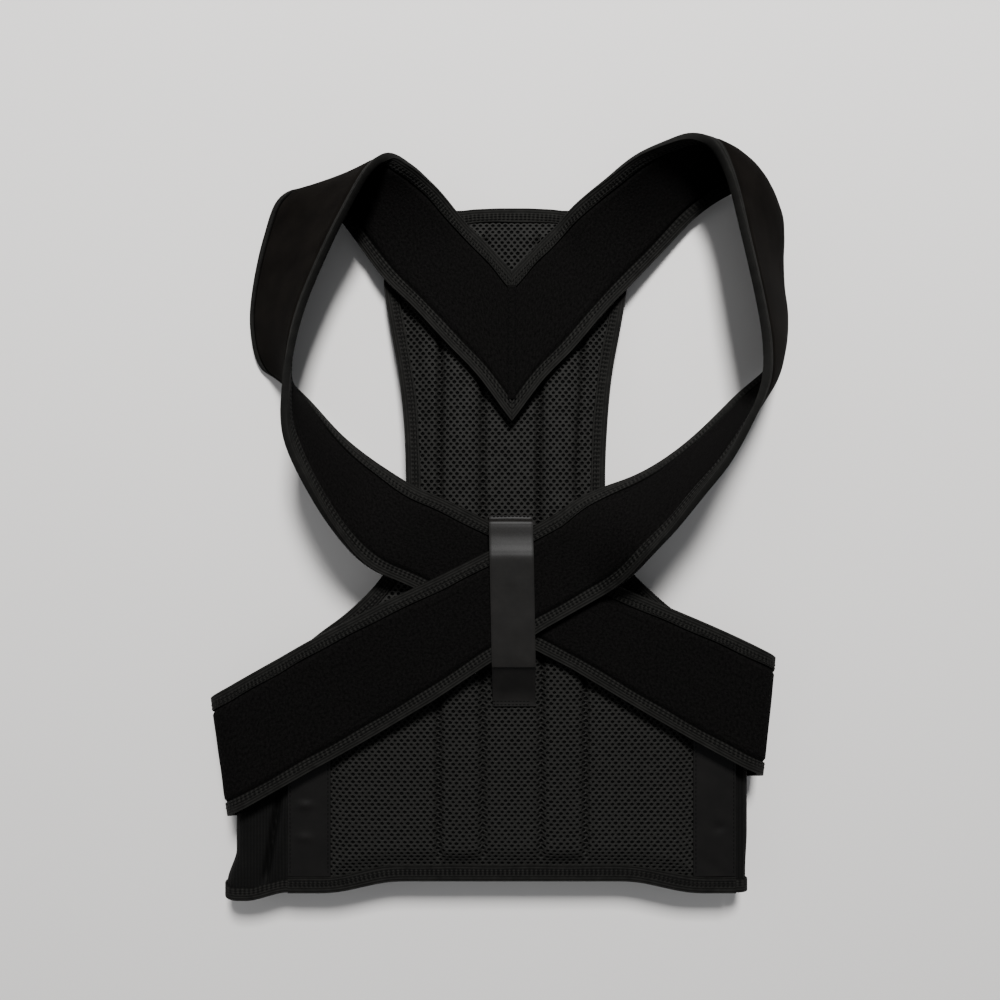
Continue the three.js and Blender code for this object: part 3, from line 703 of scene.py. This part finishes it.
def thread_material(colour):
    """Sewing thread with a slight twist, near black: partly the thread's own dark colour, partly painted
    shade of the holes where the stitches sink.
    """
    made, nodes, links, shader = blank("sewing_thread", colour, 0.8, 0.1)
    place = coordinates(nodes, "Object")
    fine = noise(nodes, links, place, 2500, 2)
    ramp_colour(nodes, links, shader, fine, scaled(colour, 0.6), scaled(colour, 1.5))
    return made


def floor_material(colour):
    """Plain pale matt floor with the faintest unevenness."""
    made, nodes, links, shader = blank("pale_floor", colour, 0.9, 0.2)
    place = coordinates(nodes, "Object")
    fine = noise(nodes, links, place, 3, 2)
    ramp_colour(nodes, links, shader, fine, scaled(colour, 0.98), scaled(colour, 1.0))
    return made


FINISHES = {}


def finish(kind):
    """The material of a kind, made once from the panel's colours."""
    makers = {
        "plush": plush_material,
        "body": body_material,
        "binding": binding_material,
        "yarn": yarn_material,
        "hole_shade_knit": hole_shade_knit_material,
        "satin": satin_material,
        # The same satin as the keeper, with a darker colour that is painted shade.
        "side_satin": satin_material,
        "elastic": elastic_material,
        "thread": thread_material,
        "floor": floor_material,
    }
    if kind not in FINISHES:
        FINISHES[kind] = makers[kind](tuple(getattr(bpy.context.scene.brace_colours, kind)))
    return FINISHES[kind]


def colour_property(name, text, default):
    """A colour setting."""
    return bpy.props.FloatVectorProperty(
        name=name, description=text, default=default, subtype="COLOR", size=3, min=0, max=1
    )


def length_property(name, text, default):
    """A length setting in metres."""
    return bpy.props.FloatProperty(
        name=name, description=text, default=default, subtype="DISTANCE", unit="LENGTH"
    )


class BraceSizes(bpy.types.PropertyGroup):
    """Lengths that the pieces are made with."""

    net_pitch: length_property("Net pitch", "Distance between the holes of a row of the air mesh", 0.0038)
    net_row: length_property("Net row", "Distance between two rows of holes", 0.0022)
    binding_width: length_property("Binding width", "How far a strap's binding covers each face", 0.0076)
    stitch_pitch: length_property("Stitch pitch", "Distance between two stitches of a row", 0.0026)
    thread_radius: length_property("Thread radius", "Radius of the sewing thread", 0.00028)
    ribbon_width: length_property("Ribbon width", "Width of keeper and side tapes", RIBBON_WIDTH / 1000)
    camera_height: length_property("Camera height", "Height of the camera over the floor", CAMERA_HEIGHT)


class BraceColours(bpy.types.PropertyGroup):
    """Colours of the finishes."""

    plush: colour_property("Plush", "Brushed face of the straps", (0.0032, 0.003, 0.0029))
    body: colour_property("Body side", "Smooth side of the straps", (0.0036, 0.003, 0.0025))
    binding: colour_property("Binding", "Woven edge bindings", (0.0066, 0.0064, 0.0058))
    yarn: colour_property("Yarn", "Yarn of the air mesh", (0.0125, 0.0122, 0.0113))
    # The under knit's near black colour is painted shade, standing in for the shade inside the air mesh's
    # holes.
    hole_shade_knit: colour_property("Under knit", "Knit under the air mesh, and the lining", (0.0005, 0.0005, 0.0005))
    satin: colour_property("Satin", "Keeper over the crossing", (0.0068, 0.0062, 0.0056))
    # The side tapes use the keeper's satin at about half its brightness: painted shade.
    side_satin: colour_property("Side satin", "Tapes along the panel's sides", (0.0036, 0.0032, 0.0029))
    elastic: colour_property("Elastic", "Belt wings", (0.0034, 0.0033, 0.0031))
    # The thread's near black is partly its own colour and partly painted shade of the sunk stitch holes.
    thread: colour_property("Thread", "Sewing thread", (0.001, 0.001, 0.0009))
    floor: colour_property("Floor", "Floor under the brace", (0.78, 0.76, 0.74))


# Pieces


def folded_profile(reach, half, back=None):
    """A tape folded over an edge: inwards distances and heights of its inside, then of its outside, with fine
    ribs that fade inwards. The leaf on the lower face may be narrower."""
    back = reach if back is None else back
    t = np.linspace(0, 1, 15)
    outside, gap, wall = half + BINDING_THICKNESS, half + CLEARANCE, BINDING_REACH - CLEARANCE
    rise = 0.06 * np.cos(t * 10 * math.pi) * (1 - t) * smoothstep(0, 0.15, t)
    over = np.stack([FOLD_DEPTH + t * (reach - FOLD_DEPTH), outside + rise], -1)
    under = np.stack([FOLD_DEPTH + t * (back - FOLD_DEPTH), -outside - rise], -1)[::-1]
    turn = np.radians([-52, -18, 18, 52])
    nose = np.stack([FOLD_DEPTH * (1 - np.cos(turn)), outside * 0.97 * np.sin(turn)], -1)
    inside = np.array([[reach, gap], [wall, gap], [wall, -gap], [back, -gap]])
    points = np.concatenate([inside, under, nose, over])
    return points[:, 0], points[:, 1]


def from_fold(inwards, heights):
    """Distance of each point of a profile from the fold, positive on the upper face, and back to the first
    point."""
    return np.append(inwards * np.sign(heights), inwards[0] * np.sign(heights[0]))


def make_pad(sizes):
    """The panel's pad: a slab whose columns share the width between the outline's two sides."""
    rows = np.linspace(0, 1, 150)[:, None]
    share = np.linspace(0, 1, 121)[None, :]
    y = rows * PANEL_LENGTH + 0 * share
    left, right = half_widths(y)
    x = -left + (left + right) * share
    y = y + hem_rise(x) * (1 - smoothstep(0, 60, y))
    top = np.stack([x, y, face_height(x, y) - MESH_DEPTH], -1)
    bottom = np.stack([x, y, middle_height(y) - PANEL_EDGE / 2], -1)
    # The pad's face under the mesh takes the under knit with its painted hole shade.
    pad = sheet_slab("panel_pad", top, bottom, x, y, [finish("hole_shade_knit"), finish("body")], (0, 1))
    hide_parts("back_panel")


def make_air_mesh(sizes):
    """The air mesh over the pad: staggered six-sided cells on the quilted face, each a ring of yarn round a
    six-sided hole, with a wall down to the pad."""
    pitch, row = sizes.net_pitch * 1000, sizes.net_row * 1000
    j, i = np.meshgrid(np.arange(int(PANEL_LENGTH / row)), np.arange(-36, 37), indexing="ij")
    cx, cy = ((i + 0.5 * (j % 2)) * pitch).ravel(), ((j + 0.5) * row).ravel()
    left, right = half_widths(cy)
    inset = 4.5 + 14 * lumbar_part(cy)
    inside = (cx > -left + inset) & (cx < right - inset) & (cy > hem_rise(cx) + 4) & (cy < PANEL_LENGTH - 4)
    cx, cy = cx[inside], cy[inside]
    rng = np.random.default_rng(11)
    tall, short = row * 0.667, row * 0.333
    wide = pitch / 2
    corner = np.array([[0, tall], [wide, short], [wide, -short], [0, -tall], [-wide, -short], [-wide, short]])
    turn = np.radians([90, 30, -30, -90, -150, 150])
    oval = np.stack([np.cos(turn), np.sin(turn)], -1)
    size = rng.uniform(0.86, 1.14, (len(cx), 1))
    cell = np.stack([cx, cy], -1)[:, None]
    rim = cell + oval * [1.2, 1.05] * size[..., None]
    floor = cell + oval * [1.04, 0.9] * size[..., None]

    def raised(flat, rise):
        """Points of the plan on the quilted face, raised by a height."""
        return np.concatenate([flat, (face_height(flat[..., 0], flat[..., 1]) + rise)[..., None]], -1)

    lift = np.array([0.2, -0.12, 0.2, -0.12, 0.2, -0.12])
    rings = [raised(cell + corner, lift), raised(rim, 0.02), raised(floor, 0.01 - MESH_DEPTH)]
    points = np.concatenate(rings, 1)
    k = np.arange(6)
    n = (k + 1) % 6
    ring = np.concatenate([np.stack([k, k + 6, n + 6, n], -1), np.stack([k + 6, k + 12, n + 12, n + 6], -1)])
    quads = (ring[None] + (np.arange(len(cx)) * 18)[:, None, None]).reshape(-1, 4)
    flat = points.reshape(-1, 3)
    uvs = flat[quads.ravel()][:, :2] * 0.001
    net = put_mesh("air_mesh_face", flat, quads.tolist(), uvs, [finish("yarn")], sharp=80)


def rounded(line):
    """Chaikin's corner cutting, twice: each corner gives way to points at a quarter of its two sides."""
    for _ in range(2):
        a, b = line[:-1], line[1:]
        cut = np.stack([0.75 * a + 0.25 * b, 0.25 * a + 0.75 * b], 1).reshape(-1, 2)
        line = np.concatenate([line[:1], cut, line[-1:]])
    return line


def edge_binding(name, node, line, reach):
    """A folded tape carried along a line of edge points, at the height of the panel's middle. It gives the
    line, its outward directions and its lengths."""
    line = rounded(line)
    flat, along = evenly(np.concatenate([line, 0 * line[:, :1]], 1), 2.2)
    line = flat[:, :2]
    out = beside(line)
    inwards, heights = folded_profile(reach, PANEL_EDGE / 2)
    place = line[:, None] + out[:, None] * (BINDING_REACH - inwards)[None, :, None]
    sway = 0.25 * np.sin(along / 7.0)[:, None] * smoothstep(reach - 3, reach, inwards)
    z = middle_height(place[..., 1]) + heights
    rings = np.concatenate([place - out[:, None] * sway[..., None], z[..., None]], -1)
    tape = loft(name, rings, along, from_fold(inwards, heights), [finish("binding")])
    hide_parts(node)
    return line, out, along


def seam_on_line(line, out, along, inwards, pitch):
    """Stitches at a distance inwards from an edge line, on top of its binding."""
    count = int(along[-1] / pitch)
    at = (np.arange(count) + 0.5) * along[-1] / count
    fine = np.stack([np.interp(at, along, c) for c in np.concatenate([line, out], 1).T], -1)
    place = fine[:, :2] + fine[:, 2:] * (BINDING_REACH - inwards)
    z = middle_height(place[:, 1]) + PANEL_EDGE / 2 + BINDING_THICKNESS + 0.08
    return row_facing_up(np.concatenate([place, z[:, None]], -1))


def make_panel_bindings(sizes):
    """Bindings round the panel and along its bottom edge, with two rows of stitches near the inner side of
    each."""
    side = OUTLINE[(OUTLINE[:, 0] * PANEL_LENGTH) >= WING_HEIGHT + 2]
    start = np.array([[HALF_LUMBAR, WING_HEIGHT + 1.6]])
    right = np.stack([side[:, 2], side[:, 0] * PANEL_LENGTH], -1)
    left = np.stack([-side[:, 1], side[:, 0] * PANEL_LENGTH], -1)[::-1]
    ring = np.concatenate([start, right, left, start * [-1, 1]])
    reach = sizes.binding_width * 1000 + 1.2
    pitch, radius = sizes.stitch_pitch * 1000, sizes.thread_radius * 1000
    x = np.linspace(-HALF_LUMBAR, HALF_LUMBAR, 40)
    lines = (
        edge_binding("panel_edge_tape", "panel_binding", ring, reach),
        edge_binding("panel_hem_tape", "hem_binding", np.stack([x, hem_rise(x)], -1), reach + 1),
    )
    rows = [seam_on_line(*line, inwards, pitch) for line in lines for inwards in PANEL_SEAMS]
    sew("panel_stitches", rows, pitch * STITCH_SHARE, radius)


def make_straps(sizes):
    """Each strap: a padded band, thin under its bindings, plush on its upper side and smooth on its body
    side."""
    share = np.linspace(-1, 1, 45)
    swell = (STRAP_THICKNESS - STRAP_EDGE) / 2
    for side, band in bands().items():
        w = share[None] * (band.half - BINDING_REACH * band.slant)[:, None]
        inside = (band.half[:, None] - np.abs(w)) / band.slant[:, None]
        plush = 1 if side == "right" else -1
        over = STRAP_EDGE / 2 + swell * smoothstep(7.4, 9.8, inside)
        under = STRAP_EDGE / 2 + swell * smoothstep(3.4, 6.2, inside)
        uneven = 0.16 * ripples(band.along[:, None] + 0 * w, w, 38, 7 if side == "left" else 9)
        uneven = uneven * smoothstep(8, 14, inside)
        face, back = band.at(w, plush * (over + uneven * 0.9)), band.at(w, -plush * (under - uneven * 0.5))
        rings = np.concatenate([face, back[:, ::-1]], 1)
        around = np.linspace(0, 4 * band.half.mean(), rings.shape[1] + 1)
        slots = np.repeat([0, 1], len(share))
        materials = [finish("plush"), finish("body")]
        piece = loft(f"{side}_strap_band", rings, band.along, around, materials, slots)
        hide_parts(f"shoulder_strap_{side}")


def make_strap_bindings(sizes):
    """The tapes folded over both edges of each strap, narrow on the body side, with two rows of stitches."""
    reach = sizes.binding_width * 1000
    pitch, radius = sizes.stitch_pitch * 1000, sizes.thread_radius * 1000
    half = STRAP_EDGE / 2 + 0.2
    inwards, heights = folded_profile(reach, half, BODY_SIDE_REACH)
    top = half + BINDING_THICKNESS + 0.06
    around = from_fold(inwards, heights)
    for side, band in bands().items():
        plush = 1 if side == "right" else -1
        rows = []
        for direction, edge in ((1, "outer"), (-1, "inner")):
            sway = 0.2 * np.sin(band.along / 6.0)[:, None] * smoothstep(reach - 3, reach, inwards)
            rings = band.from_edge(direction, inwards[None] + sway, plush * heights[None])
            tape = loft(f"{side}_{edge}_tape", rings, band.along, around, [finish("binding")])
            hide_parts(f"{side}_strap_binding_{edge}")
            for inset in STRAP_SEAMS:
                line = band.from_edge(direction, [[inset]], [[plush * top]])[:, 0]
                lengths = run_along(line)
                at = (np.arange(int(lengths[-1] / pitch)) + 0.5) * pitch
                places = np.stack([np.interp(at, lengths, column) for column in line.T], -1)
                ups = np.stack([np.interp(at, lengths, column * plush) for column in band.normal.T], -1)
                rows.append((places, np.gradient(places, axis=0), ups))
        sew(f"{side}_strap_stitches", rows, pitch * STITCH_SHARE, radius)


def make_yoke_seam(sizes):
    """The low ridge of the yoke's centre seam, with a row of stitches along each of its sides."""
    yoke_top = CHANNEL_TOP + STRAP_THICKNESS
    along = np.arange(SEAM_FOOT + 1, SEAM_TOP - 0.5, 1.2)
    ends = np.clip(np.minimum(along - SEAM_FOOT, SEAM_TOP - along) / 3, 0.1, 1)[:, None]
    turn = np.linspace(0, math.pi, 9)
    profile = np.stack([2.7 * np.cos(turn), 1.1 * np.sin(turn) ** 0.7 - 0.1], -1)
    height = middle_height(along) + yoke_top
    rings = np.stack(
        [
            profile[None, :, 0] + 0 * along[:, None],
            along[:, None] + 0 * profile[None, :, 0],
            height[:, None] + profile[None, :, 1] * ends,
        ],
        -1,
    )
    ridge = loft("yoke_seam_ridge", rings, along, np.linspace(0, 8, 10), [finish("plush")])
    pitch, radius = sizes.stitch_pitch * 1000, sizes.thread_radius * 1000
    y = np.arange(SEAM_FOOT + 1.5, SEAM_TOP - 3.5, pitch)
    z = middle_height(y) + yoke_top + 0.85
    rows = [row_facing_up(np.stack([x + 0 * y, y, z], -1)) for x in (-1.9, 1.9)]
    sew("yoke_stitches", rows, pitch * 0.75, radius)


def ribbon(name, node, line, half, kind, dents=(), middle=0.0, lean=0.0):
    """A ribbon carried along a line of y and z: a slab across x, with a slight crown, rounded edges, and a
    bell shaped ridge or dent for each row of dents. It may lean aside as it comes down."""
    flat, along = evenly(np.concatenate([line, np.zeros((len(line), 1))], 1), 0.8)
    normal = beside(flat[:, :2])
    share = np.linspace(-1, 1, 33)
    x = share * half
    edge = np.minimum(1, (1 - np.abs(share)) * half / 0.5)
    lift = 0.15 * np.cos(share * math.pi / 2)[None] + 0.05 * ripples(along[:, None], x[None], 14, 5)
    for y, aside, long, wide, high, slant in dents:
        over = ((flat[:, :1] - y + x * slant) / long) ** 2 + ((x - aside) / wide) ** 2
        lift = lift + high * np.exp(-over) * (1 - share**2)
    thick = TAPE_THICKNESS / 2 * (0.45 + 0.55 * edge)

    def face(offset):
        """The ribbon's middle surface, moved along its normal."""
        y = flat[:, :1] + normal[:, :1] * offset
        z = flat[:, 1:2] + normal[:, 1:2] * offset
        return np.stack([x + middle + (UPPER_CROSSING - y) * lean, y, z], -1)

    u, v = x[None] + 0 * lift, along[:, None] + 0 * lift
    piece = sheet_slab(name, face(lift + thick), face(lift - thick), u, v, [finish(kind)])
    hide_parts(node)
    return piece, along


def make_keeper(sizes):
    """The ribbon over the crossing straps, with a stitched bar at its upper foot and two at its lower one."""
    half = sizes.ribbon_width * 500
    strap_slope = math.radians(30)
    span = STRAP_WIDTH * 0.98 / 2 / math.cos(strap_slope) + RIBBON_WIDTH / 2 * math.tan(strap_slope)
    lift = CLEARANCE + TAPE_THICKNESS / 2
    top = UPPER_LAYER + STRAP_THICKNESS / 2 + lift
    low = PANEL_MIDDLE + PANEL_EDGE / 2 + PAD_RISE + lift
    high_end, low_end = LOWER_CROSSING - 3 + span, UPPER_CROSSING - span
    line = np.array(
        [
            (high_end + 4.8, low),
            (high_end + 3.4, low),
            (high_end + 2, low + 1.5),
            (high_end + 1.4, top - 1.2),
            (high_end - 0.5, top + 0.1),
            (high_end - 7, top + 0.4),
            (high_end - 12, top + 1.2),
            (high_end - 16, top + 2.2),
            (high_end - 21, top + 2.6),
            (UPPER_CROSSING, top + 1.5),
            (low_end, top),
            (low_end - 2, top - 0.9),
            (low_end - 5, top - 2.6),
            (low_end - 9, top - 5),
            (low_end - 14, top - 7.8),
            (low_end - 19, top - 10.2),
            (low_end - 23, low + 0.5),
            (low_end - 26, low),
            (low_end - 28.4, low),
        ]
    )
    parts = catmull_rom(np.concatenate([line[:1], line, line[-1:]]), 6)
    line = np.concatenate([*parts, line[-1:]])
    piece, along = ribbon("keeper_ribbon", "cross_keeper", line, half, "satin", lean=0.02)
    x = np.arange(-10.5, 10.6, 2.2)
    bars = (high_end + 3.9, low_end - 25.4, low_end - 27.4)
    rows = [row_facing_up(np.stack([x, 0 * x + y, 0 * x + low + 0.62], -1)) for y in bars]
    sew("keeper_stitches", rows, 1.7, 0.24)


# Columns: y, x from the tape's middle, width along, width across, height, slant of a dent or a soft ridge.
LEFT_DENTS = [(51, -3, 2.8, 5, 0.85, 0), (32, -3.5, 2.6, 5, 0.6, 0)]
RIGHT_DENTS = [(38, 3, 3, 4, -0.5, 0), (14, 0, 5, 30, -0.35, 0.6)]


def make_side_tapes(sizes):
    """The satin tapes over the seams of the wings, with soft dents, and a row of stitches along each side."""
    half = sizes.ribbon_width * 500
    panel_top = PANEL_MIDDLE + PANEL_EDGE / 2
    y = np.linspace(TAPE_TOP, TAPE_FOOT, 90)
    line = np.stack([y, 0 * y + panel_top + 0.8], -1)
    at = np.arange(12, 105, 2.6)
    rows = []
    for side, hand, dents in (("left", -1, LEFT_DENTS), ("right", 1, RIGHT_DENTS)):
        middle = hand * (HALF_LUMBAR - half)
        names = f"{side}_tape_ribbon", f"side_tape_{side}"
        piece, along = ribbon(*names, line, half, "side_satin", dents, middle)
        for x in (middle - half + 1.4, middle + half - 1.4):
            rows.append(row_facing_up(np.stack([0 * at + x, at, 0 * at + panel_top + 1.25], -1)))
    sew("tape_stitches", rows, 1.9, 0.22)


def wing_line(hand, reach, layer, widening):
    """Path of a wing in x and z: a level leaf from the panel's side, a half circle, and the run along the
    front, 25 mm past the middle."""
    radius = (PANEL_MIDDLE - layer) / 2
    fold = HALF_LUMBAR + reach + widening - radius - 1
    turn = np.radians(np.arange(0, 181, 10))
    leaf = HALF_LUMBAR + 0.3 + np.linspace(0, 1, 24, endpoint=False) * (fold - HALF_LUMBAR - 0.3)
    run = fold + np.linspace(0, 1, 80)[1:] * (-25 - fold)
    x = np.concatenate([leaf, fold + radius * np.sin(turn), run])
    z = np.concatenate([0 * leaf + PANEL_MIDDLE, layer + radius * (1 + np.cos(turn)), 0 * run + layer])
    return np.stack([hand * x, z], -1)


def hem_drop(line):
    """How far the wing's bottom edge hangs below its two ends, less where the front run lies under the panel,
    and the length along the wing."""
    run = run_along(line)
    front = smoothstep(PANEL_MIDDLE - 4, line[:, 1].min(), line[:, 1])
    rise = HEM_RISE * smoothstep(0.95 * HALF_LUMBAR, 0.6 * HALF_LUMBAR, np.abs(line[:, 0])) * front
    return rise - WING_DROP * smoothstep(0, 25, run) * (1 - smoothstep(run[-1] - 50, run[-1], run)), run


# Columns: side, hand, reach past the panel, height of the front run, and how far the bottom edge flares.
WINGS = (("left", -1, 30, OUTER_WING_LAYER, 9), ("right", 1, 8.9, INNER_WING_LAYER, -1))


def wing_flare(side, flare, share):
    """How much further out the fold lies at a share of the wing's height. The left wing flares in two steps,
    the first of them up past a third of the height."""
    if side == "right":
        return flare * (1 - smoothstep(10 / WING_HEIGHT, 0.3, share))
    upper = 3.4
    return upper * (1 - smoothstep(0.37, 0.48, share)) + (flare - upper) * (1 - smoothstep(0.05, 0.22, share))


def crease(line, share):
    """Height of the left wing's crease: a bell shaped groove down the level leaf, with a low ridge beside it,
    both fading towards the ends."""
    past = line[:, 0] + 147 - 7 * share / 0.35
    depth = smoothstep(0.02, 0.12, share) * smoothstep(0.6, 0.35, share)
    bells = np.exp(-(((past - 5) / 2.6) ** 2)) - 4.5 * np.exp(-((past / 1.9) ** 2))
    return np.where(line[:, 1] > PANEL_MIDDLE - 0.5, depth * bells, 0)


def make_wings(sizes):
    """The elastic wings, carried up from their bottom edges, and the bindings folded over those edges."""
    binding = sizes.binding_width * 1000
    inwards, heights = folded_profile(binding, 1.0)
    for side, hand, reach, layer, flare in WINGS:
        tops, bottoms, us, vs = [], [], [], []
        for share in np.linspace(0, 1, 70):
            line = wing_line(hand, reach, layer, wing_flare(side, flare, share))
            normal = -beside(line)
            drop, run = hem_drop(line)
            y = drop + (WING_HEIGHT - drop) * share
            z = line[:, 1] + (crease(line, share) if side == "left" else 0)
            tops.append(np.stack([line[:, 0] + normal[:, 0], y, z + normal[:, 1]], -1))
            bottoms.append(np.stack([line[:, 0] - normal[:, 0], y, z - normal[:, 1]], -1))
            us.append(run)
            vs.append(y)
        grids = [np.array(rows) for rows in (tops, bottoms, us, vs)]
        piece = sheet_slab(f"{side}_elastic_wing", *grids, [finish("elastic")])
        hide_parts(f"belt_wing_{side}")
        line = wing_line(hand, reach, layer, flare)
        normal = -beside(line)
        drop, run = hem_drop(line)
        gather = 0.3 * np.sin(run / 1.9)[:, None] * smoothstep(4, 9, inwards)
        rings = np.stack(
            [
                line[:, :1] + normal[:, :1] * heights,
                (drop - BINDING_REACH)[:, None] + inwards + gather,
                line[:, 1:] + normal[:, 1:] * heights,
            ],
            -1,
        )
        tape = loft(f"{side}_wing_tape", rings, run, from_fold(inwards, heights), [finish("binding")])
        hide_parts(f"wing_hem_{side}")


def make_hook_patch(sizes):
    """The hook patch between the wings' ends: a slab with rows of small hooks on its lower face."""
    low, high = (np.array(list(corner)) * 1000 - SHIFT * 1000 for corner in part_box("hook_tab"))
    x, y = np.meshgrid(np.linspace(low[0], high[0], 60), np.linspace(low[1], high[1], 110))
    teeth = 0.12 * (np.cos(x * 3.1) * np.cos(y * 3.1))
    top = np.stack([x, y, 0 * x + high[2] - 0.15 + teeth], -1)
    bottom = np.stack([x, y, 0 * x + low[2] + 0.15 + teeth], -1)
    piece = sheet_slab("hook_patch", top, bottom, x, y, [finish("elastic")])
    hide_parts("hook_tab")


def make_stage(sizes):
    """A plain pale floor, a soft light from the neck end, a weaker fill, and the camera straight above."""
    mesh = bpy.data.meshes.new("floor")
    mesh.from_pydata([(-4, -4, 0), (4, -4, 0), (4, 4, 0), (-4, 4, 0)], [], [(0, 1, 2, 3)])
    mesh.materials.append(finish("floor"))
    floor = bpy.data.objects.new("floor", mesh)
    bpy.context.scene.collection.objects.link(floor)
    world = bpy.data.worlds.new("studio")
    world.use_nodes = True
    world.node_tree.nodes["Background"].inputs["Color"].default_value = (0.93, 0.96, 1.0, 1)
    world.node_tree.nodes["Background"].inputs["Strength"].default_value = 0.24
    bpy.context.scene.world = world
    for name, place, aim, size, power in (
        ("key", (0.15, 1.25, 1.45), (0, 0.05, 0), 0.4, 72),
        ("fill", (-1.7, 0.1, 0.9), (0, 0, 0), 1.4, 5),
    ):
        light = bpy.data.lights.new(name, "AREA")
        light.size = size
        light.energy = power
        lamp = bpy.data.objects.new(name, light)
        bpy.context.scene.collection.objects.link(lamp)
        lamp.location = place
        way = np.array(aim) - np.array(place)
        tilt, heading = math.acos(-way[2] / np.linalg.norm(way)), math.atan2(way[1], way[0])
        lamp.rotation_euler = (tilt, 0, heading - math.pi / 2)
    camera = bpy.data.cameras.new("camera")
    camera.sensor_fit = "HORIZONTAL"
    camera.angle = 2 * math.atan(HALF_VIEW / CAMERA_HEIGHT)
    camera.clip_start = 0.01
    viewer = bpy.data.objects.new("camera", camera)
    viewer.location = (SHIFT[0] - 0.007, SHIFT[1] + 0.23, sizes.camera_height)
    bpy.context.scene.collection.objects.link(viewer)
    bpy.context.scene.camera = viewer


# Operators


class PieceOperator:
    """What the operators share: they make their piece once and end."""

    bl_options = {"REGISTER", "UNDO"}

    def execute(self, context):
        """Makes the piece."""
        self.make(context.scene.brace_sizes)
        return {"FINISHED"}


class BRACE_OT_pad(PieceOperator, bpy.types.Operator):
    """Make the panel's pad"""

    bl_idname = "brace.pad"
    bl_label = "Pad"
    make = staticmethod(make_pad)


class BRACE_OT_air_mesh(PieceOperator, bpy.types.Operator):
    """Make the air mesh over the pad"""

    bl_idname = "brace.air_mesh"
    bl_label = "Air mesh"
    make = staticmethod(make_air_mesh)


class BRACE_OT_panel_bindings(PieceOperator, bpy.types.Operator):
    """Make the bindings of the panel"""

    bl_idname = "brace.panel_bindings"
    bl_label = "Panel bindings"
    make = staticmethod(make_panel_bindings)


class BRACE_OT_straps(PieceOperator, bpy.types.Operator):
    """Make the plush straps"""

    bl_idname = "brace.straps"
    bl_label = "Straps"
    make = staticmethod(make_straps)


class BRACE_OT_strap_bindings(PieceOperator, bpy.types.Operator):
    """Make the bindings of the straps and their stitches"""

    bl_idname = "brace.strap_bindings"
    bl_label = "Strap bindings"
    make = staticmethod(make_strap_bindings)


class BRACE_OT_yoke_seam(PieceOperator, bpy.types.Operator):
    """Make the ridge and the stitches of the yoke's centre seam"""

    bl_idname = "brace.yoke_seam"
    bl_label = "Yoke seam"
    make = staticmethod(make_yoke_seam)


class BRACE_OT_keeper(PieceOperator, bpy.types.Operator):
    """Make the keeper ribbon over the crossing"""

    bl_idname = "brace.keeper"
    bl_label = "Keeper"
    make = staticmethod(make_keeper)


class BRACE_OT_side_tapes(PieceOperator, bpy.types.Operator):
    """Make the satin side tapes"""

    bl_idname = "brace.side_tapes"
    bl_label = "Side tapes"
    make = staticmethod(make_side_tapes)


class BRACE_OT_wings(PieceOperator, bpy.types.Operator):
    """Make the elastic wings and their hems"""

    bl_idname = "brace.wings"
    bl_label = "Belt wings"
    make = staticmethod(make_wings)


class BRACE_OT_hook_patch(PieceOperator, bpy.types.Operator):
    """Make the hook patch of the closure"""

    bl_idname = "brace.hook_patch"
    bl_label = "Hook patch"
    make = staticmethod(make_hook_patch)


class BRACE_OT_stage(PieceOperator, bpy.types.Operator):
    """Make the floor, the lights and the camera"""

    bl_idname = "brace.stage"
    bl_label = "Stage"
    make = staticmethod(make_stage)


OPERATORS = (
    BRACE_OT_pad,
    BRACE_OT_air_mesh,
    BRACE_OT_panel_bindings,
    BRACE_OT_straps,
    BRACE_OT_strap_bindings,
    BRACE_OT_yoke_seam,
    BRACE_OT_keeper,
    BRACE_OT_side_tapes,
    BRACE_OT_wings,
    BRACE_OT_hook_patch,
    BRACE_OT_stage,
)


class BRACE_PT_pieces(bpy.types.Panel):
    """Lists the pieces in the order in which they are made"""

    bl_idname = "BRACE_PT_pieces"
    bl_label = "Posture corrector"
    bl_space_type = "VIEW_3D"
    bl_region_type = "UI"
    bl_category = "Brace"

    def draw(self, context):
        """Settings, then one button for each operator."""
        for group in (context.scene.brace_sizes, context.scene.brace_colours):
            for key in group.__annotations__:
                self.layout.prop(group, key)
        for operator in OPERATORS:
            self.layout.operator(operator.bl_idname)


def register():
    """Registers the classes and puts the settings on the scene."""
    for item in (BraceSizes, BraceColours, *OPERATORS, BRACE_PT_pieces):
        bpy.utils.register_class(item)
    bpy.types.Scene.brace_sizes = bpy.props.PointerProperty(type=BraceSizes)
    bpy.types.Scene.brace_colours = bpy.props.PointerProperty(type=BraceColours)


def unregister():
    """Takes the settings and the classes away again."""
    del bpy.types.Scene.brace_sizes
    del bpy.types.Scene.brace_colours
    for item in (BRACE_PT_pieces, *reversed(OPERATORS), BraceColours, BraceSizes):
        bpy.utils.unregister_class(item)


def main():
    """Makes every piece in order."""
    register()
    for operator in OPERATORS:
        getattr(bpy.ops.brace, operator.bl_idname.split(".")[1])()


if __name__ == "__main__":
    main()
